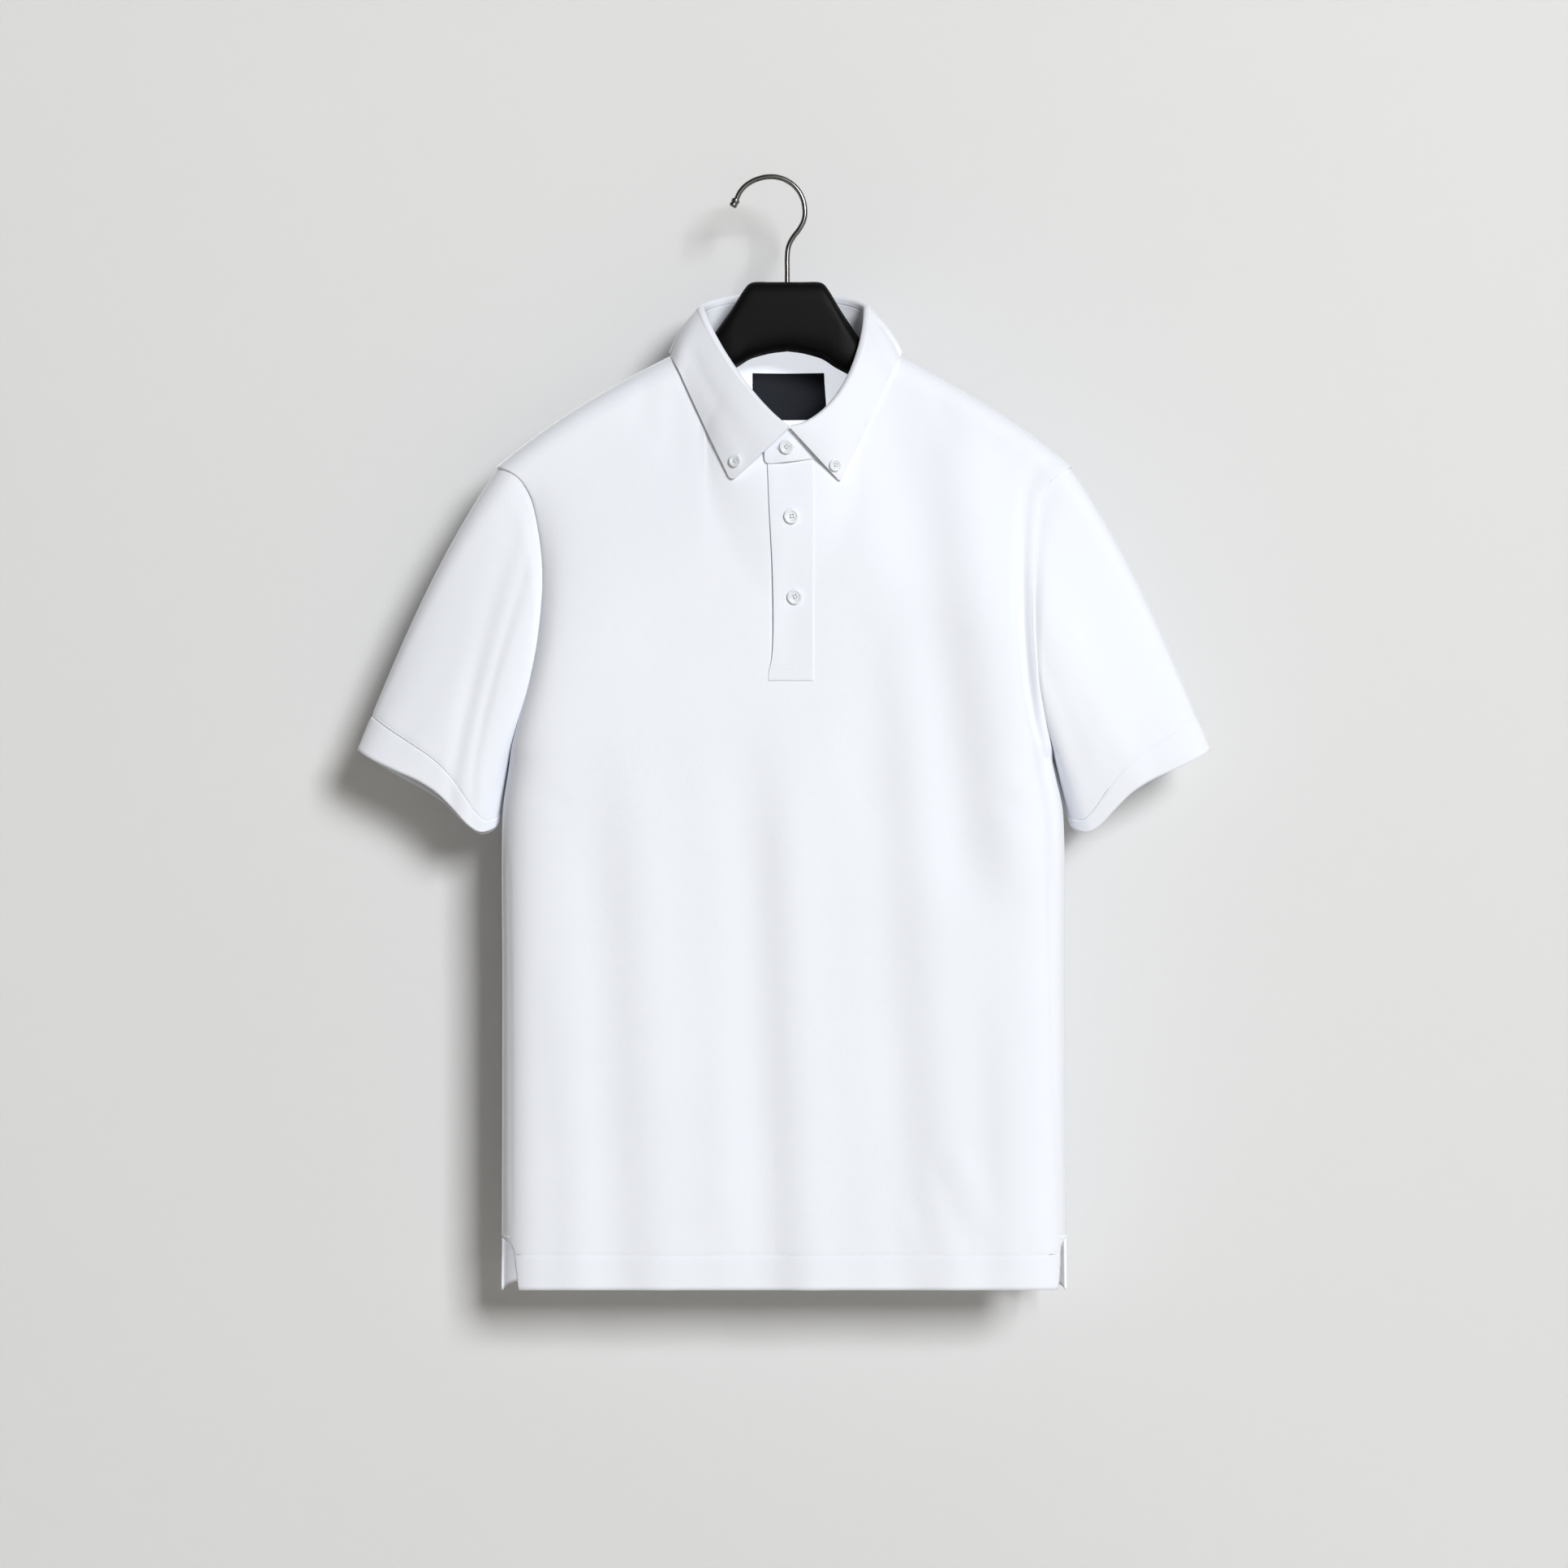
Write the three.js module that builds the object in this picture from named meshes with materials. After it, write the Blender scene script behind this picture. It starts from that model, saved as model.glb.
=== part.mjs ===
import * as THREE from 'three';

// A short-sleeved polo shirt with a button-down collar, hung on a moulded suit hanger.
// Millimetres, +Z up, the front of the shirt faces -Y, +X is the viewer's right.
// The origin is the inner top of the hook, where the hook rests on its rail.

// Driving sizes of the shirt, measured from its own centre plane

const shirt = {
  centre: 9.6,
  wall: 1.8,
  seam: 0.3,
  hem: -823,
  underarm: -432,
  shoulderTip: -215,
  shoulderHalf: 214,
  shoulderSlope: 0.5,
  shoulderFall: 18,
  shoulderDepth: 20,
  shoulderRound: 20,
  chestEase: 180,
  sideSquareness: 4,
  sidePull: 3,
  ventTop: -785,
  ventInset: { left: 13, right: 7 },
  ventLift: 2,
};

const neck = {
  half: 60,
  level: -120,
  frontDrop: 96,
  backRise: 6,
  front: 40,
  back: 34,
  bow: 1.38,
  planBow: 0.5,
};

// Where the armhole seam runs, by its drop below the shoulder tip

const armhole = [
  { drop: 0, left: 214, right: 214, depth: 20 },
  { drop: 5, left: 202, right: 206, depth: 20 },
  { drop: 13, left: 193, right: 197, depth: 20 },
  { drop: 30, left: 185, right: 189, depth: 21 },
  { drop: 77, left: 178, right: 185, depth: 23 },
  { drop: 124, left: 181, right: 185, depth: 23 },
  { drop: 160, left: 188, right: 188, depth: 21 },
  { drop: 190, left: 197, right: 193, depth: 15 },
  { drop: 208, left: 202, right: 198, depth: 8 },
  { drop: 217, left: 204, right: 200, depth: 0 },
];

// The tube of the body: its half widths, and how far front and back stand off the centre plane

const body = [
  { level: -823, left: 209, right: 209, front: 37, back: 35 },
  { level: -785, left: 208.5, right: 208.5, front: 37, back: 35 },
  { level: -600, left: 208, right: 207.5, front: 38, back: 36 },
  { level: -474, left: 208, right: 206.5, front: 40, back: 37 },
  { level: -432, left: 204, right: 200, front: 41, back: 37 },
  { level: -300, left: 200, right: 200, front: 42, back: 36 },
  { level: -216, left: 200, right: 200, front: 41, back: 35 },
  { level: -100, left: 200, right: 200, front: 38, back: 34 },
];

// The cuff's edge, from the sleeve's outer fold round to its underarm seam

const cuff = [
  { way: 0, out: 317, level: -425.5, depth: 0 },
  { way: 0.02, out: 316, level: -426, depth: 5 },
  { way: 0.1, out: 307, level: -431.5, depth: 12 },
  { way: 0.24, out: 289, level: -440, depth: 18 },
  { way: 0.4, out: 271, level: -448, depth: 21 },
  { way: 0.55, out: 257, level: -457, depth: 21 },
  { way: 0.7, out: 245, level: -469, depth: 19 },
  { way: 0.82, out: 234, level: -481, depth: 16 },
  { way: 0.91, out: 225, level: -486, depth: 12 },
  { way: 0.97, out: 216, level: -483, depth: 6 },
  { way: 1, out: 213, level: -478, depth: 0 },
];
const cuffBackDrop = 5;
const sleeve = {
  headGap: 1.3,
  underarmGap: 1.3,
  gapFrom: 0.7,
  bow: 7,
  bowPeak: 0.8,
  bowFade: 1.5,
  bowOut: 0.9,
  bowUp: 0.44,
  puff: 5,
  creaseWay: 0.45,
  creaseWidth: 0.12,
  crease: 4,
};

// Long soft folds: each swells from a trough on its left to a ridge on its right

const frontFolds = [
  { name: 'left', top: -410, topX: -130, foot: -870, footX: -106, reach: 21, lift: 4.5 },
  { name: 'centre', top: -420, topX: -14, foot: -870, footX: 4, reach: 19, lift: 4.5 },
  { name: 'right', top: -280, topX: 76, foot: -870, footX: 112, reach: 20, lift: 3.5 },
  { name: 'chest', top: -150, topX: 112, foot: -560, footX: 158, reach: 19, lift: 4 },
];
const backFolds = [
  { name: 'left', top: -260, topX: -118, foot: -870, footX: -96, reach: 22, lift: 4.5 },
  { name: 'centre', top: -330, topX: 22, foot: -870, footX: 10, reach: 20, lift: 3.5 },
  { name: 'right', top: -200, topX: 126, foot: -870, footX: 108, reach: 21, lift: 4 },
];
const foldFade = 90;

// The collar: its fold above the neck seam, and the edge of the leaf that falls from it

const collar = {
  sideFold: -97,
  frontFold: -191,
  backFold: -82,
  frontReach: 45,
  backReach: 34,
  bow: { left: 1.6, right: 1.14 },
  planBow: 0.75,
  frontShift: 4,
  standTop: 0.86,
  leafStart: 0.91,
  rollStart: 0.1,
  rollEnd: 0.3,
  roll: 2.4,
  rollHeight: 1.92,
  bulge: 3,
  lap: 0.08,
  lapFrom: 0.8,
  lapShift: 1.3,
  seatGap: 1.5,
  sideLift: 1.1,
  sideLiftSharpness: 4,
  endGap: 0.6,
  endGapFrom: 0.9,
};
const leafEdge = {
  side: { left: 85, right: 87.5 },
  sideLevel: -129.3,
  tip: { left: 39, right: 41 },
  tipLevel: -229.5,
  tipReach: { left: 39, right: 40.2 },
  backReach: 41,
  backTurn: 0.6,
  run: 1.4,
  sideTurn: 0.3,
};

const placket = {
  left: -11.4,
  right: 21.6,
  bottom: -375,
  underStand: 1.2,
  underInset: 1.5,
  slashLeft: -9,
  slashRight: 19,
  slashEnd: 0.72,
};

const buttons = [
  { name: 'button_placket_upper', x: 5.4, level: -254.4, radius: 5.6 },
  { name: 'button_placket_lower', x: 7.8, level: -313.2, radius: 5.6 },
];
const standButton = { name: 'button_stand', radius: 5.2, around: 0.998, up: 0.46 };
const pointButtons = [
  { name: 'button_collar_left', radius: 4.5, around: -0.896, way: 0.856 },
  { name: 'button_collar_right', radius: 4.5, around: 0.924, way: 0.844 },
];
const buttonHeight = 2.4;
const buttonDish = 1.7;

// A button's outline from its back to its dished face, as shares of its radius and height
const buttonOutline = [
  { out: 0.9, up: 0 },
  { out: 1, up: 0.35 },
  { out: 0.97, up: 0.8 },
  { out: 0.9, up: 1 },
  { out: 0.78, up: 0.95 },
  { out: 0.7, up: buttonDish / buttonHeight },
];

const label = { centre: 3.3, width: 54, top: -141.2, height: 35, wall: 1 };

// The hanger: its neck stands up through the collar, and its arms lie under the shoulders

const hanger = {
  centre: 2.4,
  armEnd: 203,
  armHeight: 31,
  armDepth: 14,
  underCloth: 3.2,
  endDrop: 2.6,
  dropFrom: 140,
  dropOver: 40,
  centreFade: 90,
  roundness: 2.2,
};
const hangerNeck = [
  { out: 0, top: -79, base: -126, depth: 17, squareness: 4 },
  { out: 21, top: -79, base: -129, depth: 17, squareness: 4 },
  { out: 26, top: -80.2, base: -131, depth: 17, squareness: 4 },
  { out: 29.5, top: -84, base: -132.5, depth: 17, squareness: 4 },
  { out: 34, top: -90.5, base: -135, depth: 17, squareness: 4 },
  { out: 40, top: -98.5, base: -138.5, depth: 17, squareness: 4 },
  { out: 47, top: -108, base: -143.5, depth: 16.5, squareness: 3.4 },
  { out: 53, top: -117.2, base: -148, depth: 15.5, squareness: 2.7 },
  { out: 57.5, top: -124, base: -151, depth: 14, squareness: 2.2 },
];

// An arm's end is rounded off: height and depth shrink over its last millimetres
const armTip = [
  { fromEnd: 1.5, scale: 0.8 },
  { fromEnd: 0, scale: 0.45 },
];

const hook = {
  wire: 1.95,
  bowl: 25,
  bowlStart: 164,
  bowlEnd: 6,
  bowlSteps: 9,
  flare: 0.09,
  flareFrom: 96,
  flareOver: 70,
  tipRadius: 3.1,
  tipLength: 7,
};

// The wire's way from the bowl down into the hanger
const hookStem = [
  { x: 24.6, level: -29.5 },
  { x: 21.4, level: -36.5 },
  { x: 16.4, level: -43.2 },
  { x: 13, level: -50 },
  { x: 12, level: -58 },
  { x: 12, level: -68 },
  { x: 12, level: -78.7 },
];

// The ferrule's outline from its foot to its round end, as shares of its radius and length
const tipOutline = [
  { out: 0.8, along: 0 },
  { out: 1, along: 0.1 },
  { out: 1, along: 0.3 },
  { out: 0.84, along: 0.4 },
  { out: 1, along: 0.5 },
  { out: 1, along: 0.72 },
  { out: 0.7, along: 0.93 },
];

const fabric = new THREE.MeshStandardMaterial({ color: 0xf3f6fb, roughness: 0.85, metalness: 0 });
const whitePlastic = new THREE.MeshStandardMaterial({ color: 0xf2f3f4, roughness: 0.3, metalness: 0 });
const blackPlastic = new THREE.MeshStandardMaterial({ color: 0x1b1b1c, roughness: 0.45, metalness: 0 });
const steel = new THREE.MeshStandardMaterial({ color: 0xb8bab8, roughness: 0.25, metalness: 1 });
const navyCloth = new THREE.MeshStandardMaterial({ color: 0x2a2e38, roughness: 0.8, metalness: 0 });

// Small helpers

const halfWall = shirt.wall / 2;
const mix = (from, to, part) => from + (to - from) * part;
const clamp01 = (value) => Math.min(1, Math.max(0, value));

function ease(value) {
  const part = clamp01(value);
  return part * part * (3 - 2 * part);
}

// Reads one column of a table at a value of its key, on a smooth curve through the rows
function readTable(rows, key, value, column) {
  const rising = rows[rows.length - 1][key] > rows[0][key];
  const ordered = rising ? rows : [...rows].reverse();
  const last = ordered.length - 1;
  if (value <= ordered[0][key]) return ordered[0][column];
  if (value >= ordered[last][key]) return ordered[last][column];
  const next = ordered.findIndex((row) => row[key] > value);
  const slopeAt = (index) => {
    const before = ordered[Math.max(0, index - 1)];
    const after = ordered[Math.min(last, index + 1)];
    return (after[column] - before[column]) / (after[key] - before[key]);
  };
  const [low, high] = [ordered[next - 1], ordered[next]];
  const span = high[key] - low[key];
  const part = (value - low[key]) / span;
  const part2 = part * part;
  const part3 = part2 * part;
  return (2 * part3 - 3 * part2 + 1) * low[column]
    + (part3 - 2 * part2 + part) * span * slopeAt(next - 1)
    + (3 * part2 - 2 * part3) * high[column]
    + (part3 - part2) * span * slopeAt(next);
}

// A cloth wall: a grid of points thickened to both sides. Cells that keep turns down are
// left open, and every free edge gets a rim. On the plane where front and back meet, the
// wall is square to that plane, so the two panels butt cleanly.
function clothWall(acrossValues, downValues, place, options = {}) {
  const { thickness = shirt.wall, round = false, keep = () => true } = options;
  const columns = acrossValues.length;
  const rows = downValues.length;
  const points = acrossValues.map((across) => downValues.map((down) => place(across, down)));
  const within = (index, count) => Math.min(count - 1, Math.max(0, index));
  const column = (index) => (round ? (index + columns) % columns : within(index, columns));
  const row = (index) => within(index, rows);
  const positions = [];
  for (let i = 0; i < columns; i += 1) {
    for (let j = 0; j < rows; j += 1) {
      const alongAcross = points[column(i + 1)][j].clone().sub(points[column(i - 1)][j]);
      const alongDown = points[i][row(j + 1)].clone().sub(points[i][row(j - 1)]);
      const normal = alongDown.cross(alongAcross);
      if (Math.abs(points[i][j].y) < shirt.seam) normal.y = 0;
      normal.normalize().multiplyScalar(thickness / 2);
      const outer = points[i][j].clone().add(normal);
      const inner = points[i][j].clone().sub(normal);
      positions.push(outer.x, outer.y, outer.z, inner.x, inner.y, inner.z);
    }
  }
  const outerAt = (i, j) => 2 * (column(i) * rows + j);
  const innerAt = (i, j) => outerAt(i, j) + 1;
  const cellColumns = round ? columns : columns - 1;
  const kept = (i, j) => {
    if (j < 0 || j >= rows - 1) return false;
    if (!round && (i < 0 || i >= cellColumns)) return false;
    return keep(column(i), j);
  };
  const faces = [];
  const addRim = (from, to) => {
    const [outerFrom, innerFrom] = [outerAt(...from), innerAt(...from)];
    const [outerTo, innerTo] = [outerAt(...to), innerAt(...to)];
    faces.push(outerTo, outerFrom, innerFrom, outerTo, innerFrom, innerTo);
  };
  for (let i = 0; i < cellColumns; i += 1) {
    for (let j = 0; j < rows - 1; j += 1) {
      if (!kept(i, j)) continue;
      const corners = [[i, j], [i, j + 1], [i + 1, j + 1], [i + 1, j]];
      const [a, b, c, d] = corners.map((corner) => outerAt(...corner));
      faces.push(a, b, d, d, b, c);
      const [e, f, g, h] = corners.map((corner) => innerAt(...corner));
      faces.push(e, h, f, h, g, f);
      if (!kept(i - 1, j)) addRim(corners[0], corners[1]);
      if (!kept(i, j + 1)) addRim(corners[1], corners[2]);
      if (!kept(i + 1, j)) addRim(corners[2], corners[3]);
      if (!kept(i, j - 1)) addRim(corners[3], corners[0]);
    }
  }
  return compact(positions, faces);
}

// Drops the vertices that no face uses
function compact(positions, faces) {
  const renumbered = new Map();
  const kept = [];
  const index = faces.map((vertex) => {
    if (!renumbered.has(vertex)) {
      renumbered.set(vertex, renumbered.size);
      kept.push(...positions.slice(3 * vertex, 3 * vertex + 3));
    }
    return renumbered.get(vertex);
  });
  const geometry = new THREE.BufferGeometry();
  geometry.setAttribute('position', new THREE.Float32BufferAttribute(kept, 3));
  geometry.setIndex(index);
  geometry.computeVertexNormals();
  return geometry;
}

// A solid bar through closed sections that run along +X, with flat ends
function barThrough(sections) {
  const count = sections[0].length;
  const positions = sections.flat().flatMap((point) => [point.x, point.y, point.z]);
  const faces = [];
  for (let s = 0; s < sections.length - 1; s += 1) {
    for (let k = 0; k < count; k += 1) {
      const [a, b] = [s * count + k, s * count + ((k + 1) % count)];
      const [c, d] = [a + count, b + count];
      faces.push(a, b, c, b, d, c);
    }
  }
  const lastRing = (sections.length - 1) * count;
  for (let k = 1; k < count - 1; k += 1) {
    faces.push(0, k + 1, k);
    faces.push(lastRing, lastRing + k, lastRing + k + 1);
  }
  return compact(positions, faces);
}

// The shirt's surface

const isLeft = (across) => across < 0;
const sideName = (across) => (isLeft(across) ? 'left' : 'right');

function shoulderLevel(x) {
  const out = Math.max(0, Math.abs(x) - neck.half);
  const part = out / (shirt.shoulderHalf - neck.half);
  return neck.level - shirt.shoulderSlope * out - shirt.shoulderFall * part ** 3;
}

// How far round the neck's curve a column lies: 1 at the centre, 0 at the shoulder
function neckTurn(x) {
  const side = Math.min(1, Math.abs(x) / neck.half) ** (1 / neck.bow);
  return Math.sqrt(1 - side * side);
}

function panelTop(x, side) {
  if (Math.abs(x) >= neck.half) return shoulderLevel(x);
  const turn = neckTurn(x);
  return side < 0 ? neck.level - neck.frontDrop * turn ** neck.bow : neck.level + neck.backRise * turn;
}

function foldAt(folds, x, level) {
  let lift = 0;
  for (const fold of folds) {
    const way = (level - fold.top) / (fold.foot - fold.top);
    const offset = (x - mix(fold.topX, fold.footX, way)) / fold.reach;
    const fade = ease((fold.top - level) / foldFade);
    lift += fold.lift * fade * offset * Math.exp(0.5 - 0.5 * offset * offset);
  }
  return lift;
}

// A point of the front (side -1) or back (side 1). across is the column's place at the
// shoulder line. down runs from 0 at the top to 1 at the underarm and to 2 at the hem.
function bodyPoint(across, down, side, gap = shirt.seam / 2) {
  const name = sideName(across);
  const face = side < 0 ? 'front' : 'back';
  const top = panelTop(across, side);
  const above = down <= 1;
  const level = above ? mix(top, shirt.underarm, down) : mix(shirt.underarm, shirt.hem, down - 1);
  const drop = Math.min(1, down) * (shirt.shoulderTip - shirt.underarm);
  const vent = side < 0 ? clamp01((shirt.ventTop - level) / (shirt.ventTop - shirt.hem)) : 0;
  const half = above
    ? readTable(armhole, 'drop', drop, name)
    : readTable(body, 'level', level, name) - vent * shirt.ventInset[name];
  const edge = above ? readTable(armhole, 'drop', drop, 'depth') : vent * shirt.ventLift;
  const reach = Math.abs(across) / shirt.shoulderHalf;
  const x = across + Math.sign(across) * (half - shirt.shoulderHalf) * reach ** shirt.sidePull;
  const rounding = Math.sqrt(Math.max(0, 1 - Math.min(1, Math.abs(x) / half) ** shirt.sideSquareness));
  const full = mix(edge, readTable(body, 'level', level, face), rounding);
  const overNeck = Math.abs(across) < neck.half;
  const ring = overNeck ? neck[face] * neckTurn(across) ** neck.planBow : 0;
  const belowRidge = clamp01((shoulderLevel(x) - level) / shirt.shoulderRound);
  const ridge = shirt.shoulderDepth * Math.sqrt(1 - (1 - belowRidge) ** 2);
  const fall = top - level;
  const folds = foldAt(side < 0 ? frontFolds : backFolds, x, level) * rounding;
  const spread = (full - Math.max(ring, shirt.shoulderDepth)) * ease(fall / shirt.chestEase);
  const depth = Math.max(ring, ridge) + spread + folds;
  return new THREE.Vector3(x, side * (Math.max(0, depth) + gap), level);
}

// The front's surface at a place near its centre, moved out along -Y
function frontAt(x, level, out = 0) {
  const top = panelTop(x, -1);
  const point = bodyPoint(x, (level - top) / (shirt.underarm - top), -1);
  point.y -= out;
  return point;
}

const aboveUnderarm = [0, 0.02, 0.05, 0.1, 0.16, 0.24, 0.34, 0.46, 0.59, 0.72, 0.82, 0.9, 0.96, 1];
const ventRow = 1 + (shirt.underarm - shirt.ventTop) / (shirt.underarm - shirt.hem);
const belowUnderarm = [1.06, 1.15, 1.27, 1.4, 1.54, 1.68, 1.8, ventRow, 2];
const panelRows = [...aboveUnderarm, ...belowUnderarm];
const shoulderColumns = [214, 211.5, 206, 196, 182, 165, 146, 126, 106, 86, 72, 60];
const neckColumns = [59.2, 57.5, 51, 41, 30];
const sideColumns = [...shoulderColumns, ...neckColumns];
const mirrored = (columns) => [...columns].reverse();

function frontPanel() {
  const slash = [-19, placket.slashLeft, 5, placket.slashRight];
  const columns = [...sideColumns.map((x) => -x), ...slash, ...mirrored(sideColumns)];
  const firstCut = columns.indexOf(placket.slashLeft);
  const lastCut = columns.indexOf(placket.slashRight);
  const cutRows = panelRows.indexOf(placket.slashEnd);
  const keep = (i, j) => !(i >= firstCut && i < lastCut && j < cutRows);
  return clothWall(columns, panelRows, (across, down) => bodyPoint(across, down, -1), { keep });
}

function backPanel() {
  const columns = [...sideColumns, 15, 0, -15, ...mirrored(sideColumns).map((x) => -x)];
  return clothWall(columns, panelRows, (across, down) => bodyPoint(across, down, 1));
}

// A sleeve's tube. way runs 0 to 1 down its front and on to 2 up its back.
function sleevePoint(sign, way, along) {
  const side = way <= 1 ? -1 : 1;
  const down = way <= 1 ? way : 2 - way;
  const start = bodyPoint(sign * shirt.shoulderHalf, down, side, 0);
  const nearUnderarm = ease((down - sleeve.gapFrom) / (1 - sleeve.gapFrom));
  start.x += sign * (sleeve.headGap + sleeve.underarmGap * nearUnderarm);
  const backDrop = side > 0 ? cuffBackDrop * Math.sin(Math.PI * down) : 0;
  const end = new THREE.Vector3(
    sign * readTable(cuff, 'way', down, 'out'),
    side * readTable(cuff, 'way', down, 'depth'),
    readTable(cuff, 'way', down, 'level') - backDrop,
  );
  const point = start.lerp(end, along);
  const bow = sleeve.bow * Math.sin(Math.PI * along ** sleeve.bowPeak) * (1 - down) ** sleeve.bowFade;
  const midway = Math.sin(Math.PI * along);
  const swell = midway * Math.sin(Math.PI * down);
  const crease = midway * Math.exp(-(((down - sleeve.creaseWay) / sleeve.creaseWidth) ** 2));
  point.x += sign * bow * sleeve.bowOut;
  point.z += bow * sleeve.bowUp;
  point.y += side * (sleeve.puff * swell - sleeve.crease * crease);
  return point;
}

function sleeveTube(sign) {
  const back = mirrored(aboveUnderarm).slice(1, -1).map((down) => 2 - down);
  const ring = [...aboveUnderarm, ...back];
  const along = [0, 0.07, 0.18, 0.31, 0.45, 0.59, 0.72, 0.84, 0.93, 1];
  const ways = sign < 0 ? ring : mirrored(ring);
  return clothWall(ways, along, (way, part) => sleevePoint(sign, way, part), { round: true });
}

// The collar. around runs from -1 at the left front, over 0 at the back, to 1 at the right front.

function neckPoint(around) {
  const angle = around * Math.PI;
  const side = Math.sin(angle);
  const turn = Math.abs(Math.cos(angle));
  const atFront = Math.abs(around) > 0.5;
  return new THREE.Vector3(
    neck.half * Math.sign(side) * Math.abs(side) ** neck.bow,
    (atFront ? -neck.front : neck.back) * turn ** neck.planBow,
    atFront ? neck.level - neck.frontDrop * turn ** neck.bow : neck.level + neck.backRise * turn,
  );
}

function foldPoint(around) {
  const angle = around * Math.PI;
  const side = Math.sin(angle);
  const turn = Math.abs(Math.cos(angle));
  const atFront = Math.abs(around) > 0.5;
  const bow = atFront ? collar.bow[around < 0 ? 'left' : 'right'] : 1;
  return new THREE.Vector3(
    neck.half * Math.sign(side) * Math.abs(side) ** bow + (atFront ? collar.frontShift * turn ** 2 : 0),
    (atFront ? -collar.frontReach : collar.backReach) * turn ** collar.planBow,
    mix(collar.sideFold, atFront ? collar.frontFold : collar.backFold, turn ** (atFront ? bow : 1)),
  );
}

function leafEdgePoint(around) {
  const name = around < 0 ? 'left' : 'right';
  const angle = around * Math.PI;
  const turn = Math.abs(Math.cos(angle));
  if (Math.abs(around) <= 0.5) {
    const reach = leafEdge.backReach * turn ** leafEdge.backTurn;
    return new THREE.Vector3(leafEdge.side[name] * Math.sin(angle), reach, leafEdge.sideLevel);
  }
  const part = turn ** leafEdge.run;
  return new THREE.Vector3(
    Math.sign(around) * mix(leafEdge.side[name], leafEdge.tip[name], part),
    -leafEdge.tipReach[name] * part ** leafEdge.sideTurn,
    mix(leafEdge.sideLevel, leafEdge.tipLevel, part),
  );
}

function standPoint(around, up) {
  const foot = neckPoint(around);
  const top = foldPoint(around);
  const height = foot.distanceTo(top);
  const sideways = Math.abs(Math.sin(around * Math.PI)) ** collar.sideLiftSharpness;
  const start = (collar.seatGap + collar.sideLift * sideways) / height;
  const point = foot.lerp(top, mix(start, collar.standTop, up));
  const inLap = ease((Math.abs(around) - collar.lapFrom) / (1 - collar.lapFrom));
  point.y -= Math.sign(around) * collar.lapShift * inLap;
  return point;
}

// way runs from 0 inside, over the fold, to 1 at the leaf's edge
function leafPoint(around, way) {
  const angle = around * Math.PI;
  const fold = foldPoint(around);
  const edge = leafEdgePoint(around);
  const out = new THREE.Vector3(Math.sin(angle), Math.cos(angle), 0);
  const nearEnd = ease((Math.abs(around) - collar.endGapFrom) / (1 - collar.endGapFrom));
  const shift = Math.sign(around) * collar.endGap * nearEnd;
  const { rollStart, rollEnd } = collar;
  let point;
  if (way < rollStart) {
    point = neckPoint(around).lerp(fold, mix(collar.leafStart, 1, way / rollStart));
  } else if (way <= rollEnd) {
    const turned = Math.PI * ((way - rollStart) / (rollEnd - rollStart));
    point = fold.clone().addScaledVector(out, collar.roll * (1 - Math.cos(turned)));
    point.z += collar.rollHeight * Math.sin(turned);
  } else {
    const part = (way - rollEnd) / (1 - rollEnd);
    const rolled = fold.clone().addScaledVector(out, 2 * collar.roll);
    point = rolled.lerp(edge, part).addScaledVector(out, collar.bulge * Math.sin(Math.PI * part));
  }
  point.x += shift;
  return point;
}

// Where the collar's columns lie on one half, closest together at the shoulder
const backTurns = [0.1, 0.2, 0.29, 0.37, 0.43, 0.465, 0.487];
const frontTurns = [0.5, 0.513, 0.535, 0.57, 0.62, 0.69, 0.77, 0.85, 0.93];
const halfTurns = [...backTurns, ...frontTurns];

function collarStand() {
  const ends = [1, 1 + collar.lap];
  const half = [...halfTurns, ...ends];
  const turns = [...mirrored(half).map((turn) => -turn), 0, ...half].reverse();
  return clothWall(turns, [1, 0.66, 0.33, 0], standPoint);
}

function collarFall() {
  const half = [...halfTurns, 1];
  const turns = [...mirrored(half).map((turn) => -turn), 0, ...half].reverse();
  const ways = [0, 0.1, 0.16, 0.2, 0.25, 0.3, 0.42, 0.58, 0.74, 0.88, 1];
  return clothWall(turns, ways, leafPoint);
}

// The placket's two strips follow the front's surface, one before it and one behind

function placketStrip(side) {
  const inset = side > 0 ? placket.underInset : 0;
  const edges = [placket.left + inset, placket.right - inset];
  const columns = [0, 0.25, 0.5, 0.75, 1].map((part) => mix(edges[0], edges[1], part));
  const rows = [0, 0.1, 0.22, 0.36, 0.5, 0.64, 0.78, 0.9, 1];
  const place = (x, part) => {
    const top = panelTop(x, -1) - placket.underStand;
    return frontAt(x, mix(top, placket.bottom, part), -side * (shirt.wall + shirt.seam));
  };
  return clothWall(columns, rows, place);
}

function neckLabel() {
  const half = label.width / 2;
  const columns = [1, 0.5, 0, -0.5, -1].map((part) => label.centre + part * half);
  const inward = halfWall + shirt.seam + label.wall / 2;
  const place = (x, part) => {
    const level = label.top - part * label.height;
    const top = panelTop(x, 1);
    const point = bodyPoint(x, (level - top) / (shirt.underarm - top), 1);
    point.y -= inward;
    return point;
  };
  return clothWall(columns, [0, 0.5, 1], place, { thickness: label.wall });
}

// A shirt button: a low disc with a raised rim, its back on the XY plane

function buttonGeometry(radius) {
  const outline = buttonOutline.map(({ out, up }) => new THREE.Vector2(radius * out, buttonHeight * up));
  const points = [new THREE.Vector2(0, 0), ...outline, new THREE.Vector2(0, buttonDish)];
  return new THREE.LatheGeometry(points, 18).rotateX(Math.PI / 2);
}

function addButton(group, name, radius, point, normal) {
  const mesh = new THREE.Mesh(buttonGeometry(radius), whitePlastic);
  mesh.name = name;
  mesh.position.copy(point).addScaledVector(normal, halfWall + shirt.seam);
  mesh.quaternion.setFromUnitVectors(new THREE.Vector3(0, 0, 1), normal);
  group.add(mesh);
}

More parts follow.
